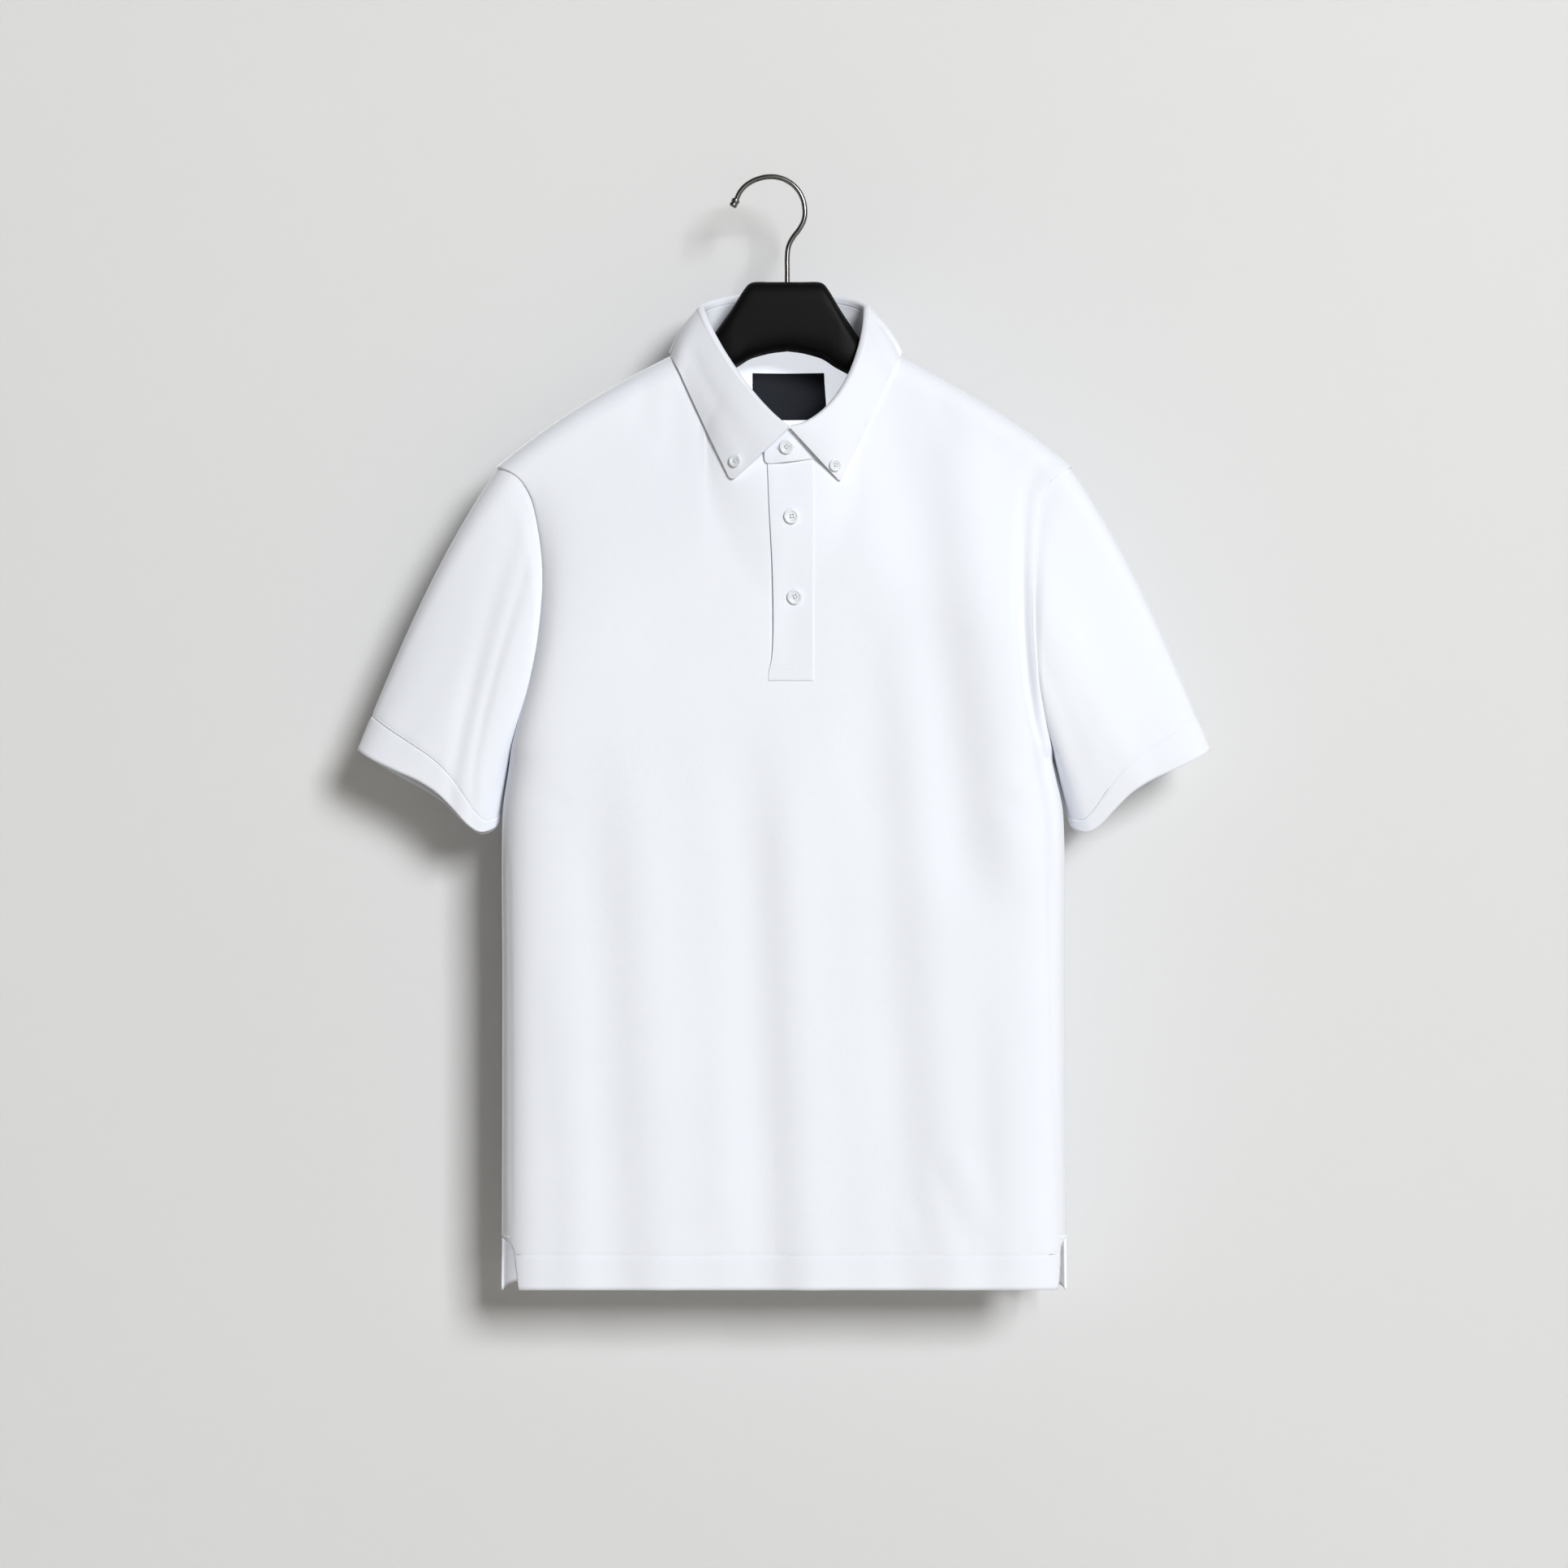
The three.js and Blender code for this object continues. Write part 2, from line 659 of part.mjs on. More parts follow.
// The outward normal of a surface given by two parameters
function surfaceNormal(place, first, second, step) {
  const alongFirst = place(first + step, second).sub(place(first - step, second));
  const alongSecond = place(first, second + step).sub(place(first, second - step));
  const normal = alongFirst.cross(alongSecond).normalize();
  return normal.y > 0 ? normal.negate() : normal;
}

// The hanger as one bar through sections, from the left arm's end to the right one's

function hangerSection(x, top, base, depth, squareness) {
  const corners = 28;
  const middle = (top + base) / 2;
  const halfHeight = (top - base) / 2;
  const power = 2 / squareness;
  return Array.from({ length: corners }, (_, k) => {
    const angle = (2 * Math.PI * (k + 0.5)) / corners;
    const [across, up] = [Math.cos(angle), Math.sin(angle)];
    const y = depth * Math.sign(across) * Math.abs(across) ** power;
    const z = middle + halfHeight * Math.sign(up) * Math.abs(up) ** power;
    return new THREE.Vector3(x, y, z);
  });
}

function hangerBar() {
  const neckStations = [0, 7, 14, 21, 23.5, 26, 27.8, 29.5, 31.8, 34, 37, 40, 43.5, 47, 50, 53, 57.5];
  const armStations = [64, 74, 90, 115, 140, 165, 185, 197];
  const neckRow = (out) => {
    const row = { out };
    for (const column of ['top', 'base', 'depth', 'squareness']) {
      row[column] = readTable(hangerNeck, 'out', out, column);
    }
    return row;
  };
  const arm = (out, scale) => ({ out, height: hanger.armHeight * scale, depth: hanger.armDepth * scale });
  const ends = armTip.map(({ fromEnd, scale }) => arm(hanger.armEnd - fromEnd, scale));
  const half = [...neckStations.map(neckRow), ...armStations.map((out) => arm(out, 1)), ...ends];
  const station = (sign, row) => {
    const shift = hanger.centre * clamp01(1 - row.out / hanger.centreFade);
    const x = sign * row.out + shift;
    const endDrop = hanger.endDrop * ease((row.out - hanger.dropFrom) / hanger.dropOver);
    const top = row.top ?? shoulderLevel(x) - hanger.underCloth - endDrop;
    const base = row.base ?? top - row.height;
    return hangerSection(x, top, base, row.depth, row.squareness ?? hanger.roundness);
  };
  const left = mirrored(half).map((row) => station(-1, row));
  const right = half.slice(1).map((row) => station(1, row));
  return barThrough([...left, ...right]);
}

// The hook's wire, from its open end over the bowl and down to the hanger. World axes.

function hookPath() {
  const bowlCentre = -hook.bowl + hook.wire;
  const arc = Array.from({ length: hook.bowlSteps + 1 }, (_, step) => {
    const degrees = mix(hook.bowlStart, hook.bowlEnd, step / hook.bowlSteps);
    const angle = THREE.MathUtils.degToRad(degrees);
    const reach = hook.bowl * (1 + hook.flare * ease((degrees - hook.flareFrom) / hook.flareOver));
    return new THREE.Vector3(reach * Math.cos(angle), 0, bowlCentre + reach * Math.sin(angle));
  });
  const stem = hookStem.map(({ x, level }) => new THREE.Vector3(x, 0, level));
  return new THREE.CatmullRomCurve3([...arc, ...stem], false, 'centripetal');
}

function hookWire() {
  const section = new THREE.Shape().absarc(0, 0, hook.wire, 0, 2 * Math.PI);
  return new THREE.ExtrudeGeometry(section, { curveSegments: 5, steps: 44, extrudePath: hookPath() });
}

function hookTip() {
  const { tipRadius: radius, tipLength: length } = hook;
  const outline = tipOutline.map(({ out, along }) => new THREE.Vector2(radius * out, length * along));
  const points = [new THREE.Vector2(0, 0), ...outline, new THREE.Vector2(0, length)];
  return new THREE.LatheGeometry(points, 16);
}

function addMesh(group, name, geometry, material) {
  const mesh = new THREE.Mesh(geometry, material);
  mesh.name = name;
  group.add(mesh);
  return mesh;
}

const part = new THREE.Group();
const garment = new THREE.Group();
garment.position.x = shirt.centre;
part.add(garment);

addMesh(garment, 'front', frontPanel(), fabric);
addMesh(garment, 'back', backPanel(), fabric);
addMesh(garment, 'sleeve_left', sleeveTube(-1), fabric);
addMesh(garment, 'sleeve_right', sleeveTube(1), fabric);
addMesh(garment, 'collar_stand', collarStand(), fabric);
addMesh(garment, 'collar_fall', collarFall(), fabric);
addMesh(garment, 'placket_top', placketStrip(-1), fabric);
addMesh(garment, 'placket_under', placketStrip(1), fabric);
addMesh(garment, 'label', neckLabel(), navyCloth);

const placketOut = shirt.wall + shirt.seam;
for (const { name, x, level, radius } of buttons) {
  const place = (first, second) => frontAt(first, second, placketOut);
  addButton(garment, name, radius, place(x, level), surfaceNormal(place, x, level, 4));
}
const { around: standTurn, up: standUp } = standButton;
const standNormal = surfaceNormal(standPoint, standTurn, standUp, 0.02);
addButton(garment, standButton.name, standButton.radius, standPoint(standTurn, standUp), standNormal);
for (const { name, radius, around, way } of pointButtons) {
  addButton(garment, name, radius, leafPoint(around, way), surfaceNormal(leafPoint, around, way, 0.02));
}

addMesh(garment, 'hanger', hangerBar(), blackPlastic);
addMesh(part, 'hook', hookWire(), steel);
const tip = addMesh(part, 'hook_tip', hookTip(), steel);
const path = hookPath();
const outOfEnd = path.getTangent(0).negate();
tip.position.copy(path.getPoint(0)).addScaledVector(outOfEnd, shirt.seam);
tip.quaternion.setFromUnitVectors(new THREE.Vector3(0, 1, 0), outOfEnd);

export default part;
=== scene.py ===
import math

import bpy
import numpy as np
from mathutils import Matrix, Vector


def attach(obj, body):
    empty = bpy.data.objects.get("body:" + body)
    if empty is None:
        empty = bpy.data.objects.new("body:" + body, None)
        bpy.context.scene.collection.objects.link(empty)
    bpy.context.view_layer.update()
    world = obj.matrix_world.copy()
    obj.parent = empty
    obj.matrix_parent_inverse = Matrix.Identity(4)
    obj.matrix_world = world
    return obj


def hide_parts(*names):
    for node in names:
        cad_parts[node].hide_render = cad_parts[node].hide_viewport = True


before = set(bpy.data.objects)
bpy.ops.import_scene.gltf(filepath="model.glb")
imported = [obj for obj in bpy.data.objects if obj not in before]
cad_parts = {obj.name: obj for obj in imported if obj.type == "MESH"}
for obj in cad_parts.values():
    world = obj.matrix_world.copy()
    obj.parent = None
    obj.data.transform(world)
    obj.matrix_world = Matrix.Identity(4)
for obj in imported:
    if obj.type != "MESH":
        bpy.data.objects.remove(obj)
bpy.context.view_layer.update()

# A white polo shirt hung on a black moulded hanger, in front of a pale wall.
# Lengths are millimetres until they become vertices, which are metres.
mm = 0.001


# Camera

camera = {
    "x": 9.6,
    "level": -450.6,  # the middle of the picture is level with the chest
    "distance": 2800,
    "frameWidth": 1159.2,  # what the picture spans, 0.6 mm to each of its 1932 pixels
    "frameAt": 22,  # how far before the shirt's middle that width is measured
    "sensor": 36,
}


def addObject(name, data):
    made = bpy.data.objects.new(name, data)
    bpy.context.scene.collection.objects.link(made)
    return made


def addCamera():
    data = bpy.data.cameras.new("photoCamera")
    data.sensor_width = camera["sensor"]
    data.lens = camera["sensor"] * (camera["distance"] - camera["frameAt"]) / camera["frameWidth"]
    data.clip_end = 100
    holder = addObject("photoCamera", data)
    holder.location = (camera["x"] * mm, -camera["distance"] * mm, camera["level"] * mm)
    holder.rotation_euler = (math.pi / 2, 0, 0)
    bpy.context.scene.camera = holder


addCamera()
print("camera placed")


# Small helpers for shapes

def ease(value):
    part = np.clip(value, 0, 1)
    return part * part * (3 - 2 * part)


def mix(low, high, part):
    return low + (high - low) * part


def bell(value):
    return np.exp(-0.5 * value * value)


def table(names, *rows):
    # settings as a line of names, then a line of values for each row
    return [dict(zip(names.split(), row)) for row in rows]


def together(first, second):
    return np.broadcast_arrays(np.asarray(first, float), np.asarray(second, float))


def leftRight(values, at):
    # a setting's left or right value, by the side of the middle that a place is on
    return np.where(at < 0, values["left"], values["right"])


def readTable(rows, key, column, at):
    # a smooth curve through one column of a table
    ordered = sorted(rows, key=lambda row: row[key])
    keys = np.array([row[key] for row in ordered], float)
    values = np.array([row[column] for row in ordered], float)
    slopes = np.empty_like(values)
    slopes[1:-1] = (values[2:] - values[:-2]) / (keys[2:] - keys[:-2])
    slopes[0] = (values[1] - values[0]) / (keys[1] - keys[0])
    slopes[-1] = (values[-1] - values[-2]) / (keys[-1] - keys[-2])
    place = np.clip(np.asarray(at, float), keys[0], keys[-1])
    low = np.clip(np.searchsorted(keys, place, side="right") - 1, 0, len(keys) - 2)
    span = keys[low + 1] - keys[low]
    part = (place - keys[low]) / span
    square, cube = part**2, part**3
    return (
        (2 * cube - 3 * square + 1) * values[low]
        + (cube - 2 * square + part) * span * slopes[low]
        + (3 * square - 2 * cube) * values[low + 1]
        + (cube - square) * span * slopes[low + 1]
    )


def ripple(u, v, seed, scale):
    # gentle unevenness from a few crossing waves, the same on every run
    generator = np.random.default_rng(seed)
    total = np.zeros(np.broadcast(u, v).shape)
    for _ in range(7):
        angle = generator.uniform(0, 2 * math.pi)
        length = scale * generator.uniform(0.6, 1.7)
        phase = generator.uniform(0, 2 * math.pi)
        along = u * math.cos(angle) + v * math.sin(angle)
        total += np.sin(2 * math.pi * along / length + phase)
    return total / 7


def unit(vectors):
    return vectors / np.maximum(np.linalg.norm(vectors, axis=-1, keepdims=True), 1e-9)


def addMesh(name, vertices, faces, material, uv=None):
    mesh = bpy.data.meshes.new(name)
    mesh.from_pydata((vertices * mm).tolist(), [], faces)
    if uv is not None:
        layer = mesh.uv_layers.new(name="UVMap")
        loops = np.empty(len(mesh.loops), dtype=np.int32)
        mesh.loops.foreach_get("vertex_index", loops)
        layer.data.foreach_set("uv", (uv * mm)[loops].astype(np.float32).ravel())
    mesh.shade_smooth()
    mesh.materials.append(material)
    return addObject(name, mesh)


def clothMesh(name, points, uv, material, closed=False, keep=None):
    # points is columns x rows x 3 in garment millimetres, and rows x columns faces outward
    columns, rows = points.shape[:2]
    index = np.arange(columns * rows).reshape(columns, rows)
    first = np.arange(columns if closed else columns - 1)
    second = (first + 1) % columns
    corners = [index[first][:, :-1], index[first][:, 1:], index[second][:, 1:], index[second][:, :-1]]
    quads = np.stack(corners, axis=-1)
    quads = quads.reshape(-1, 4) if keep is None else quads[keep[: len(first)]].reshape(-1, 4)
    used, inverse = np.unique(quads, return_inverse=True)
    world = points.reshape(-1, 3)[used] + np.array([shirt["centre"], 0, 0])
    return addMesh(name, world, inverse.reshape(-1, 4).tolist(), material, uv.reshape(-1, 2)[used])


def thicken(piece, thickness):
    wall = piece.modifiers.new("wall", "SOLIDIFY")
    wall.thickness = thickness * mm
    wall.offset = 0
    wall.use_even_offset = False
    return piece


def gridNormals(points, closed=False):
    if closed:
        along = np.roll(points, -1, axis=0) - np.roll(points, 1, axis=0)
    else:
        along = np.gradient(points, axis=0)
    return unit(np.cross(np.gradient(points, axis=1), along))


def pathOn(place, first, second, toward, step=0.002):
    # points of a surface along a line, with the surface's normals turned to one side
    first, second = together(first, second)
    points = place(first, second)
    alongFirst = place(first + step, second) - place(first - step, second)
    alongSecond = place(first, second + step) - place(first, second - step)
    normals = unit(np.cross(alongFirst, alongSecond))
    turned = np.sign(np.sum(normals * toward, axis=-1, keepdims=True))
    return points, normals * np.where(turned == 0, 1, turned)


# Thread

threadLook = {"pitch": 3.0, "stitch": 2.4, "radius": 0.2, "ring": 6}
barStations = np.array([0, 0.14, 0.5, 0.86, 1])
barRadii = np.array([0.45, 0.9, 1, 0.9, 0.45])
barRise = np.array([-1.3, -0.1, 0.35, -0.1, -1.3])


def tubeFaces(start, stations, ring):
    # the faces of a closed tube whose rings follow one another
    last = start + (stations - 1) * ring
    faces = []
    for low in range(start, last, ring):
        for k in range(ring):
            after = (k + 1) % ring
            faces.append((low + k, low + after, low + ring + after, low + ring + k))
    return faces + [tuple(reversed(range(start, start + ring))), tuple(range(last, last + ring))]


def threadBars(name, centres, normals, radius, material):
    # centres is bars x stations x 3
    bars, stations = centres.shape[:2]
    ring = threadLook["ring"]
    along = unit(np.gradient(centres, axis=1))
    side = unit(np.cross(along, normals))
    centres = centres + normals * (barRise * radius)[None, :, None]
    angles = np.arange(ring) * 2 * math.pi / ring
    spread = radius * barRadii[None, :, None, None]
    rings = centres[:, :, None] + spread * (
        np.cos(angles)[:, None] * side[:, :, None] + np.sin(angles)[:, None] * normals[:, :, None]
    )
    faces = []
    for bar in range(bars):
        faces += tubeFaces(bar * stations * ring, stations, ring)
    world = rings.reshape(-1, 3) + np.array([shirt["centre"], 0, 0])
    return addMesh(name, world, faces, material)


def stitchRow(name, path, material, above, pitch=None, radius=None):
    # a row of stitches along a path, lying above the cloth's middle surface
    points, normals = path
    pitch = pitch or threadLook["pitch"]
    radius = radius or threadLook["radius"]
    length = np.concatenate([[0], np.cumsum(np.linalg.norm(np.diff(points, axis=0), axis=1))])
    count = max(1, int(length[-1] // pitch))
    starts = (np.arange(count) + 0.1) * length[-1] / count
    places = starts[:, None] + barStations[None, :] * pitch * threadLook["stitch"] / threadLook["pitch"]
    centres = np.stack([np.interp(places, length, points[:, k]) for k in range(3)], axis=-1)
    facing = unit(np.stack([np.interp(places, length, normals[:, k]) for k in range(3)], axis=-1))
    return threadBars(name, centres + facing * above, facing, radius, material)


def barsBetween(name, starts, ends, normals, radius, material):
    centres = mix(np.asarray(starts)[:, None], np.asarray(ends)[:, None], barStations[None, :, None])
    return threadBars(name, centres, np.broadcast_to(normals, centres.shape), radius, material)


def buttonhole(name, middle, along, normal, size, material):
    # satin stitches down both sides of a slit, and a bar across each end
    long, wide, pitch = size
    across = np.cross(normal, along)
    starts, ends = [], []
    for place in np.arange(-long / 2 + 0.5, long / 2 - 0.4, pitch):
        for side in (-1, 1):
            starts.append(middle + along * place + across * side * 0.12)
            ends.append(middle + along * place + across * side * wide / 2)
    for end in (-1, 1):
        for back in (0, 0.35, 0.7):
            here = middle + along * end * (long / 2 - back)
            starts.append(here - across * wide / 2)
            ends.append(here + across * wide / 2)
    return barsBetween(name, starts, ends, normal, 0.19, material)


# Shader maths as expressions

class Wire:
    # one socket of a node tree, with the operators that add Math nodes
    def __init__(self, tree, socket):
        self.tree = tree
        self.socket = socket

    def node(self, kind, settings=None, inputs=None, output=0):
        made = self.tree.nodes.new(kind)
        for name, value in (settings or {}).items():
            setattr(made, name, value)
        for name, value in (inputs or {}).items():
            if isinstance(value, Wire):
                self.tree.links.new(value.socket, made.inputs[name])
            else:
                made.inputs[name].default_value = value
        return Wire(self.tree, made.outputs[output])

    def maths(self, operation, *others):
        return self.node("ShaderNodeMath", {"operation": operation}, dict(enumerate([self, *others])))

    def __add__(self, other):
        return self.maths("ADD", other)

    def __mul__(self, other):
        return self.maths("MULTIPLY", other)

    __radd__, __rmul__ = __add__, __mul__

    def sine(self):
        return self.maths("SINE")

    def between(self, low, high):
        # a colour from low to high by this factor
        colours = {0: self, 6: (*low, 1), 7: (*high, 1)}
        return self.node("ShaderNodeMix", {"data_type": "RGBA"}, colours, 2)

    def noise(self, scale, detail=2.0):
        return self.node("ShaderNodeTexNoise", inputs={"Vector": self, "Scale": scale, "Detail": detail})

    def split(self):
        parts = self.node("ShaderNodeSeparateXYZ", inputs={0: self})
        return [Wire(self.tree, socket) for socket in parts.socket.node.outputs]

    def bump(self, strength, distance):
        sizes = {"Strength": strength, "Distance": distance * mm, "Height": self}
        return self.node("ShaderNodeBump", inputs=sizes)


def newMaterial(name, coordinate="Object"):
    material = bpy.data.materials.new(name)
    material.use_nodes = True
    tree = material.node_tree
    coordinates = tree.nodes.new("ShaderNodeTexCoord")
    return material, Wire(tree, coordinates.outputs[coordinate]), tree.nodes["Principled BSDF"]


def dress(shader, linked, fixed=None):
    for name, wire in linked.items():
        wire.tree.links.new(wire.socket, shader.inputs[name])
    for name, value in (fixed or {}).items():
        shader.inputs[name].default_value = value


def linear(red, green, blue):
    channels = [c / 255 for c in (red, green, blue)]
    return tuple(c / 12.92 if c < 0.04045 else ((c + 0.055) / 1.055) ** 2.4 for c in channels)


# Materials

knit = {
    "colour": (243, 247, 255),
    "shade": (238, 242, 250),
    "roughness": 0.86,
    "sheen": 0.2,
    "loop": 0.9,  # mm from one column of loops to the next
    "depth": 0.05,
    "slub": 0.035,
}
plastic = {"colour": (11, 11, 12), "grain": 900.0, "roughness": 0.5, "specular": 0.09}
steel = {"dark": (0.16, 0.16, 0.157), "pale": (0.24, 0.24, 0.235), "roughness": 0.24}
buttonLook = {"dark": (226, 229, 233), "pale": (246, 248, 250), "roughness": 0.24}
tape = {"dark": (24, 28, 36), "pale": (38, 42, 51), "warp": 0.5, "weft": 0.4}


def knitMaterial(name, look):
    material, place, shader = newMaterial(name, "UV")
    across, up, _ = place.split()
    turn = 2 * math.pi / (look["loop"] * mm)
    loops = (across * turn).sine() * (up * (turn * 0.62)).sine() + (across * (turn * 2)).sine() * 0.4
    slub = place.noise(260.0, 3.0)
    height = loops * look["depth"] + slub * look["slub"]
    colour = place.noise(9.0).between(linear(*look["shade"]), linear(*look["colour"]))
    roughness = slub * 0.1 + (look["roughness"] - 0.05)
    linked = {"Base Color": colour, "Roughness": roughness, "Normal": height.bump(0.35, 1.0)}
    fixed = {"Sheen Weight": look["sheen"], "Sheen Roughness": 0.5, "Specular IOR Level": 0.25}
    dress(shader, linked, fixed)
    return material


def cloudedMaterial(name, colours, roughness, spread, noise, bump=None, fixed=None):
    # a plain material whose colour and roughness drift together
    material, place, shader = newMaterial(name)
    cloud = place.noise(*noise)
    linked = {"Base Color": cloud.between(*colours), "Roughness": cloud * spread + (roughness - spread / 2)}
    if bump:
        scale, strength, distance = bump
        linked["Normal"] = place.noise(scale).bump(strength, distance)
    dress(shader, linked, fixed)
    return material


def threadMaterial(name, colour):
    pale = tuple(min(1, c * 1.06) for c in linear(*colour))
    return cloudedMaterial(name, (linear(*colour), pale), 0.65, 0.1, (1500.0,), (1500.0, 0.3, 0.1))


def tapeMaterial():
    material, place, shader = newMaterial("wovenNavyTape", "UV")
    across, up, _ = place.split()
    turn = 2 * math.pi / mm
    weave = (across * (turn / tape["warp"])).sine() * (up * (turn / tape["weft"])).sine()
    fleck = place.noise(700.0)
    linked = {
        "Base Color": fleck.between(linear(*tape["dark"]), linear(*tape["pale"])),
        "Roughness": fleck * 0.15 + 0.66,
        "Normal": weave.bump(0.3, 0.15),
    }
    dress(shader, linked, {"Sheen Weight": 0.1, "Specular IOR Level": 0.25})
    return material


whiteKnit = knitMaterial("whiteCottonKnit", knit)
# The collar's knit has finer loops, and its colour is a touch darker than the body's: painted shade that
# tones down the collar leaf facing the key lamp; the placket strips wear it too.
collarShadedLook = {"colour": (240, 244, 252), "shade": (235, 239, 247), "loop": 0.7, "depth": 0.04}
collarShadedKnit = knitMaterial("collarCottonKnitPaintedShade", {**knit, **collarShadedLook})
black = linear(*plastic["colour"])
hangerPlastic = cloudedMaterial(
    "satinBlackPlastic",
    (tuple(c * 0.8 for c in black), black),
    plastic["roughness"],
    0.16,
    (18.0, 4.0),
    (plastic["grain"], 0.12, 0.2),
    {"Specular IOR Level": plastic["specular"]},
)
wireSteel = cloudedMaterial(
    "polishedSteelWire",
    (steel["dark"], steel["pale"]),
    steel["roughness"],
    0.16,
    (140.0, 3.0),
    fixed={"Metallic": 1.0},
)
buttonPlastic = cloudedMaterial(
    "whiteButtonPlastic",
    (linear(*buttonLook["dark"]), linear(*buttonLook["pale"])),
    buttonLook["roughness"],
    0.12,
    (320.0, 3.0),
    fixed={"Coat Weight": 0.3, "Coat Roughness": 0.15, "Subsurface Weight": 0.1},
)
whiteThread = threadMaterial("whiteSewingThread", (238, 241, 248))
navyThread = threadMaterial("navySewingThread", (20, 23, 30))
navyTape = tapeMaterial()
print("materials made")


# The shirt's cut and how it hangs, in millimetres from its own centre plane

shirt = {
    "centre": 9.6,
    "cloth": 1.3,
    "hem": -822.5,
    "hemDepth": 25,
    "underarm": -432,
    "shoulderTip": -215,
    "shoulderHalf": 214,
    "shoulderSlope": 0.5,
    "shoulderFall": 18,
    "shoulderDepth": 20,
    "shoulderRound": 20,
    "chestEase": 180,
    "sideSquareness": 16,
    "ventTop": -785,
    "ventReach": 45,
    "hemSag": 0.13,
    "seamGap": 0.15,
    "unevenness": 0.3,
    "seamFrom": -490,  # the side seams' grooves start here, below the sleeves
    "seamDepth": 0.5,
    "seamWidth": 1.3,
}
# How the front dips beside the armhole seams; the back dips on both sides as on the left
valleys = {
    "left": {"depth": 2.4, "at": 0, "width": 0.034, "down": 0.6, "reach": 0.3},
    "right": {"depth": 6.6, "at": 0.05, "width": 0.019, "down": 0.75, "reach": 0.36},
}
neck = {
    "half": 60,
    "level": -120,
    "frontDrop": 96,
    "backRise": 6,
    "front": 40,
    "back": 34,
    "bow": 1.38,
    "fade": 110,
}

# proud is how far the right armhole stands out at the front
armhole = table(
    "drop left right depth proud",
    (0, 214, 214, 20, 0),
    (5, 202, 206, 20, 0),
    (13, 193, 197, 21, 1),
    (30, 185, 189, 23, 6),
    (77, 178, 185, 27, 12),
    (124, 181, 185, 27, 13),
    (160, 188, 188, 24, 14),
    (190, 197, 193, 17, 13),
    (208, 202, 198, 9, 8),
    (217, 204, 200, 0, 0),
)
body = table(
    "level left right front back",
    (-823, 210, 210, 37, 35),
    (-785, 209.5, 209.5, 37, 35),
    (-600, 209, 208.5, 38, 36),
    (-474, 209, 207.5, 40, 37),
    (-432, 204, 200, 41, 37),
    (-300, 200, 200, 42, 36),
    (-216, 200, 200, 41, 35),
    (-100, 200, 200, 38, 34),
)
# The front's edge at the side vents, by its height above the hem
vent = table(
    "above left right",
    (0, 14.5, 9),
    (3, 14, 7.6),
    (18, 12, 6),
    (33, 8.5, 4.6),
    (38, 0, 0),
)
# The side seams' grooves, seen a little inside the outline
sideSeam = table(
    "level left right",
    (-490, -203, 194.5),
    (-640, -201.5, 197.5),
    (-785, -201, 205),
)

# Each fold swells from a trough on its left to a ridge on its right, along a slanting line
folds = {
    "front": table(
        "top topX foot footX reach lift fade",
        (-400, -128, -870, -105, 19, 1.9, 130),
        (-390, -14, -870, 5, 17, 2.5, 130),
        (-280, 74, -850, 111, 18, 2.0, 150),
        (-150, 104, -560, 158, 22, 3.4, 70),
        (-520, -165, -870, -160, 13, 0.9, 140),
        (-560, 152, -870, 160, 12, 0.8, 140),
    ),
    "back": table(
        "top topX foot footX reach lift fade",
        (-260, -118, -870, -96, 22, 3.6, 120),
        (-330, 22, -870, 10, 20, 3.2, 120),
        (-200, 126, -870, 108, 21, 3.6, 120),
        (-600, -40, -870, -52, 14, 1.6, 90),
    ),
}
# Short soft creases: a negative lift is a trough
creases = {
    "front": table(
        "fromX fromLevel toX toLevel width lift",
        (-100, -146, -107, -196, 6, -0.7),
        (-82, -150, -80, -235, 7, -0.6),
        (108, -146, 132, -212, 7, -0.8),
        (92, -170, 104, -262, 9, 0.7),
        (106, -716, 141, -812, 6, -1.1),
        (122, -706, 163, -806, 6, 0.9),
        (84, -752, 108, -835, 6, 0.8),
        (-172, -560, -163, -760, 9, 0.7),
        (40, -398, 74, -500, 12, -0.8),
        (150, -455, 196, -486, 7, -0.9),
        (-150, -470, -198, -452, 7, -0.7),
        (-48, -610, -40, -830, 11, 0.7),
    ),
    "back": table(
        "fromX fromLevel toX toLevel width lift",
        (-60, -150, -84, -250, 9, -0.9),
        (60, -150, 80, -240, 9, -0.9),
        (0, -128, 3, -200, 12, 0.8),
        (-150, -470, -195, -455, 8, -1),
        (150, -462, 190, -480, 8, -1),
        (52, -640, 70, -835, 10, -1),
        (-150, -700, -166, -830, 9, 0.9),
    ),
}


def shoulderLevel(x):
    out = np.maximum(0, np.abs(x) - neck["half"])
    part = out / (shirt["shoulderHalf"] - neck["half"])
    return neck["level"] - shirt["shoulderSlope"] * out - shirt["shoulderFall"] * part**3


def neckTurn(x):
    side = np.minimum(1, np.abs(x) / neck["half"]) ** (1 / neck["bow"])
    return np.sqrt(np.maximum(0, 1 - side * side))


def panelTop(x, side):
    turn = neckTurn(x)
    if side < 0:
        curve = neck["level"] - neck["frontDrop"] * turn ** neck["bow"]
    else:
        curve = neck["level"] + neck["backRise"] * turn
    return np.where(np.abs(x) >= neck["half"], shoulderLevel(x), curve)


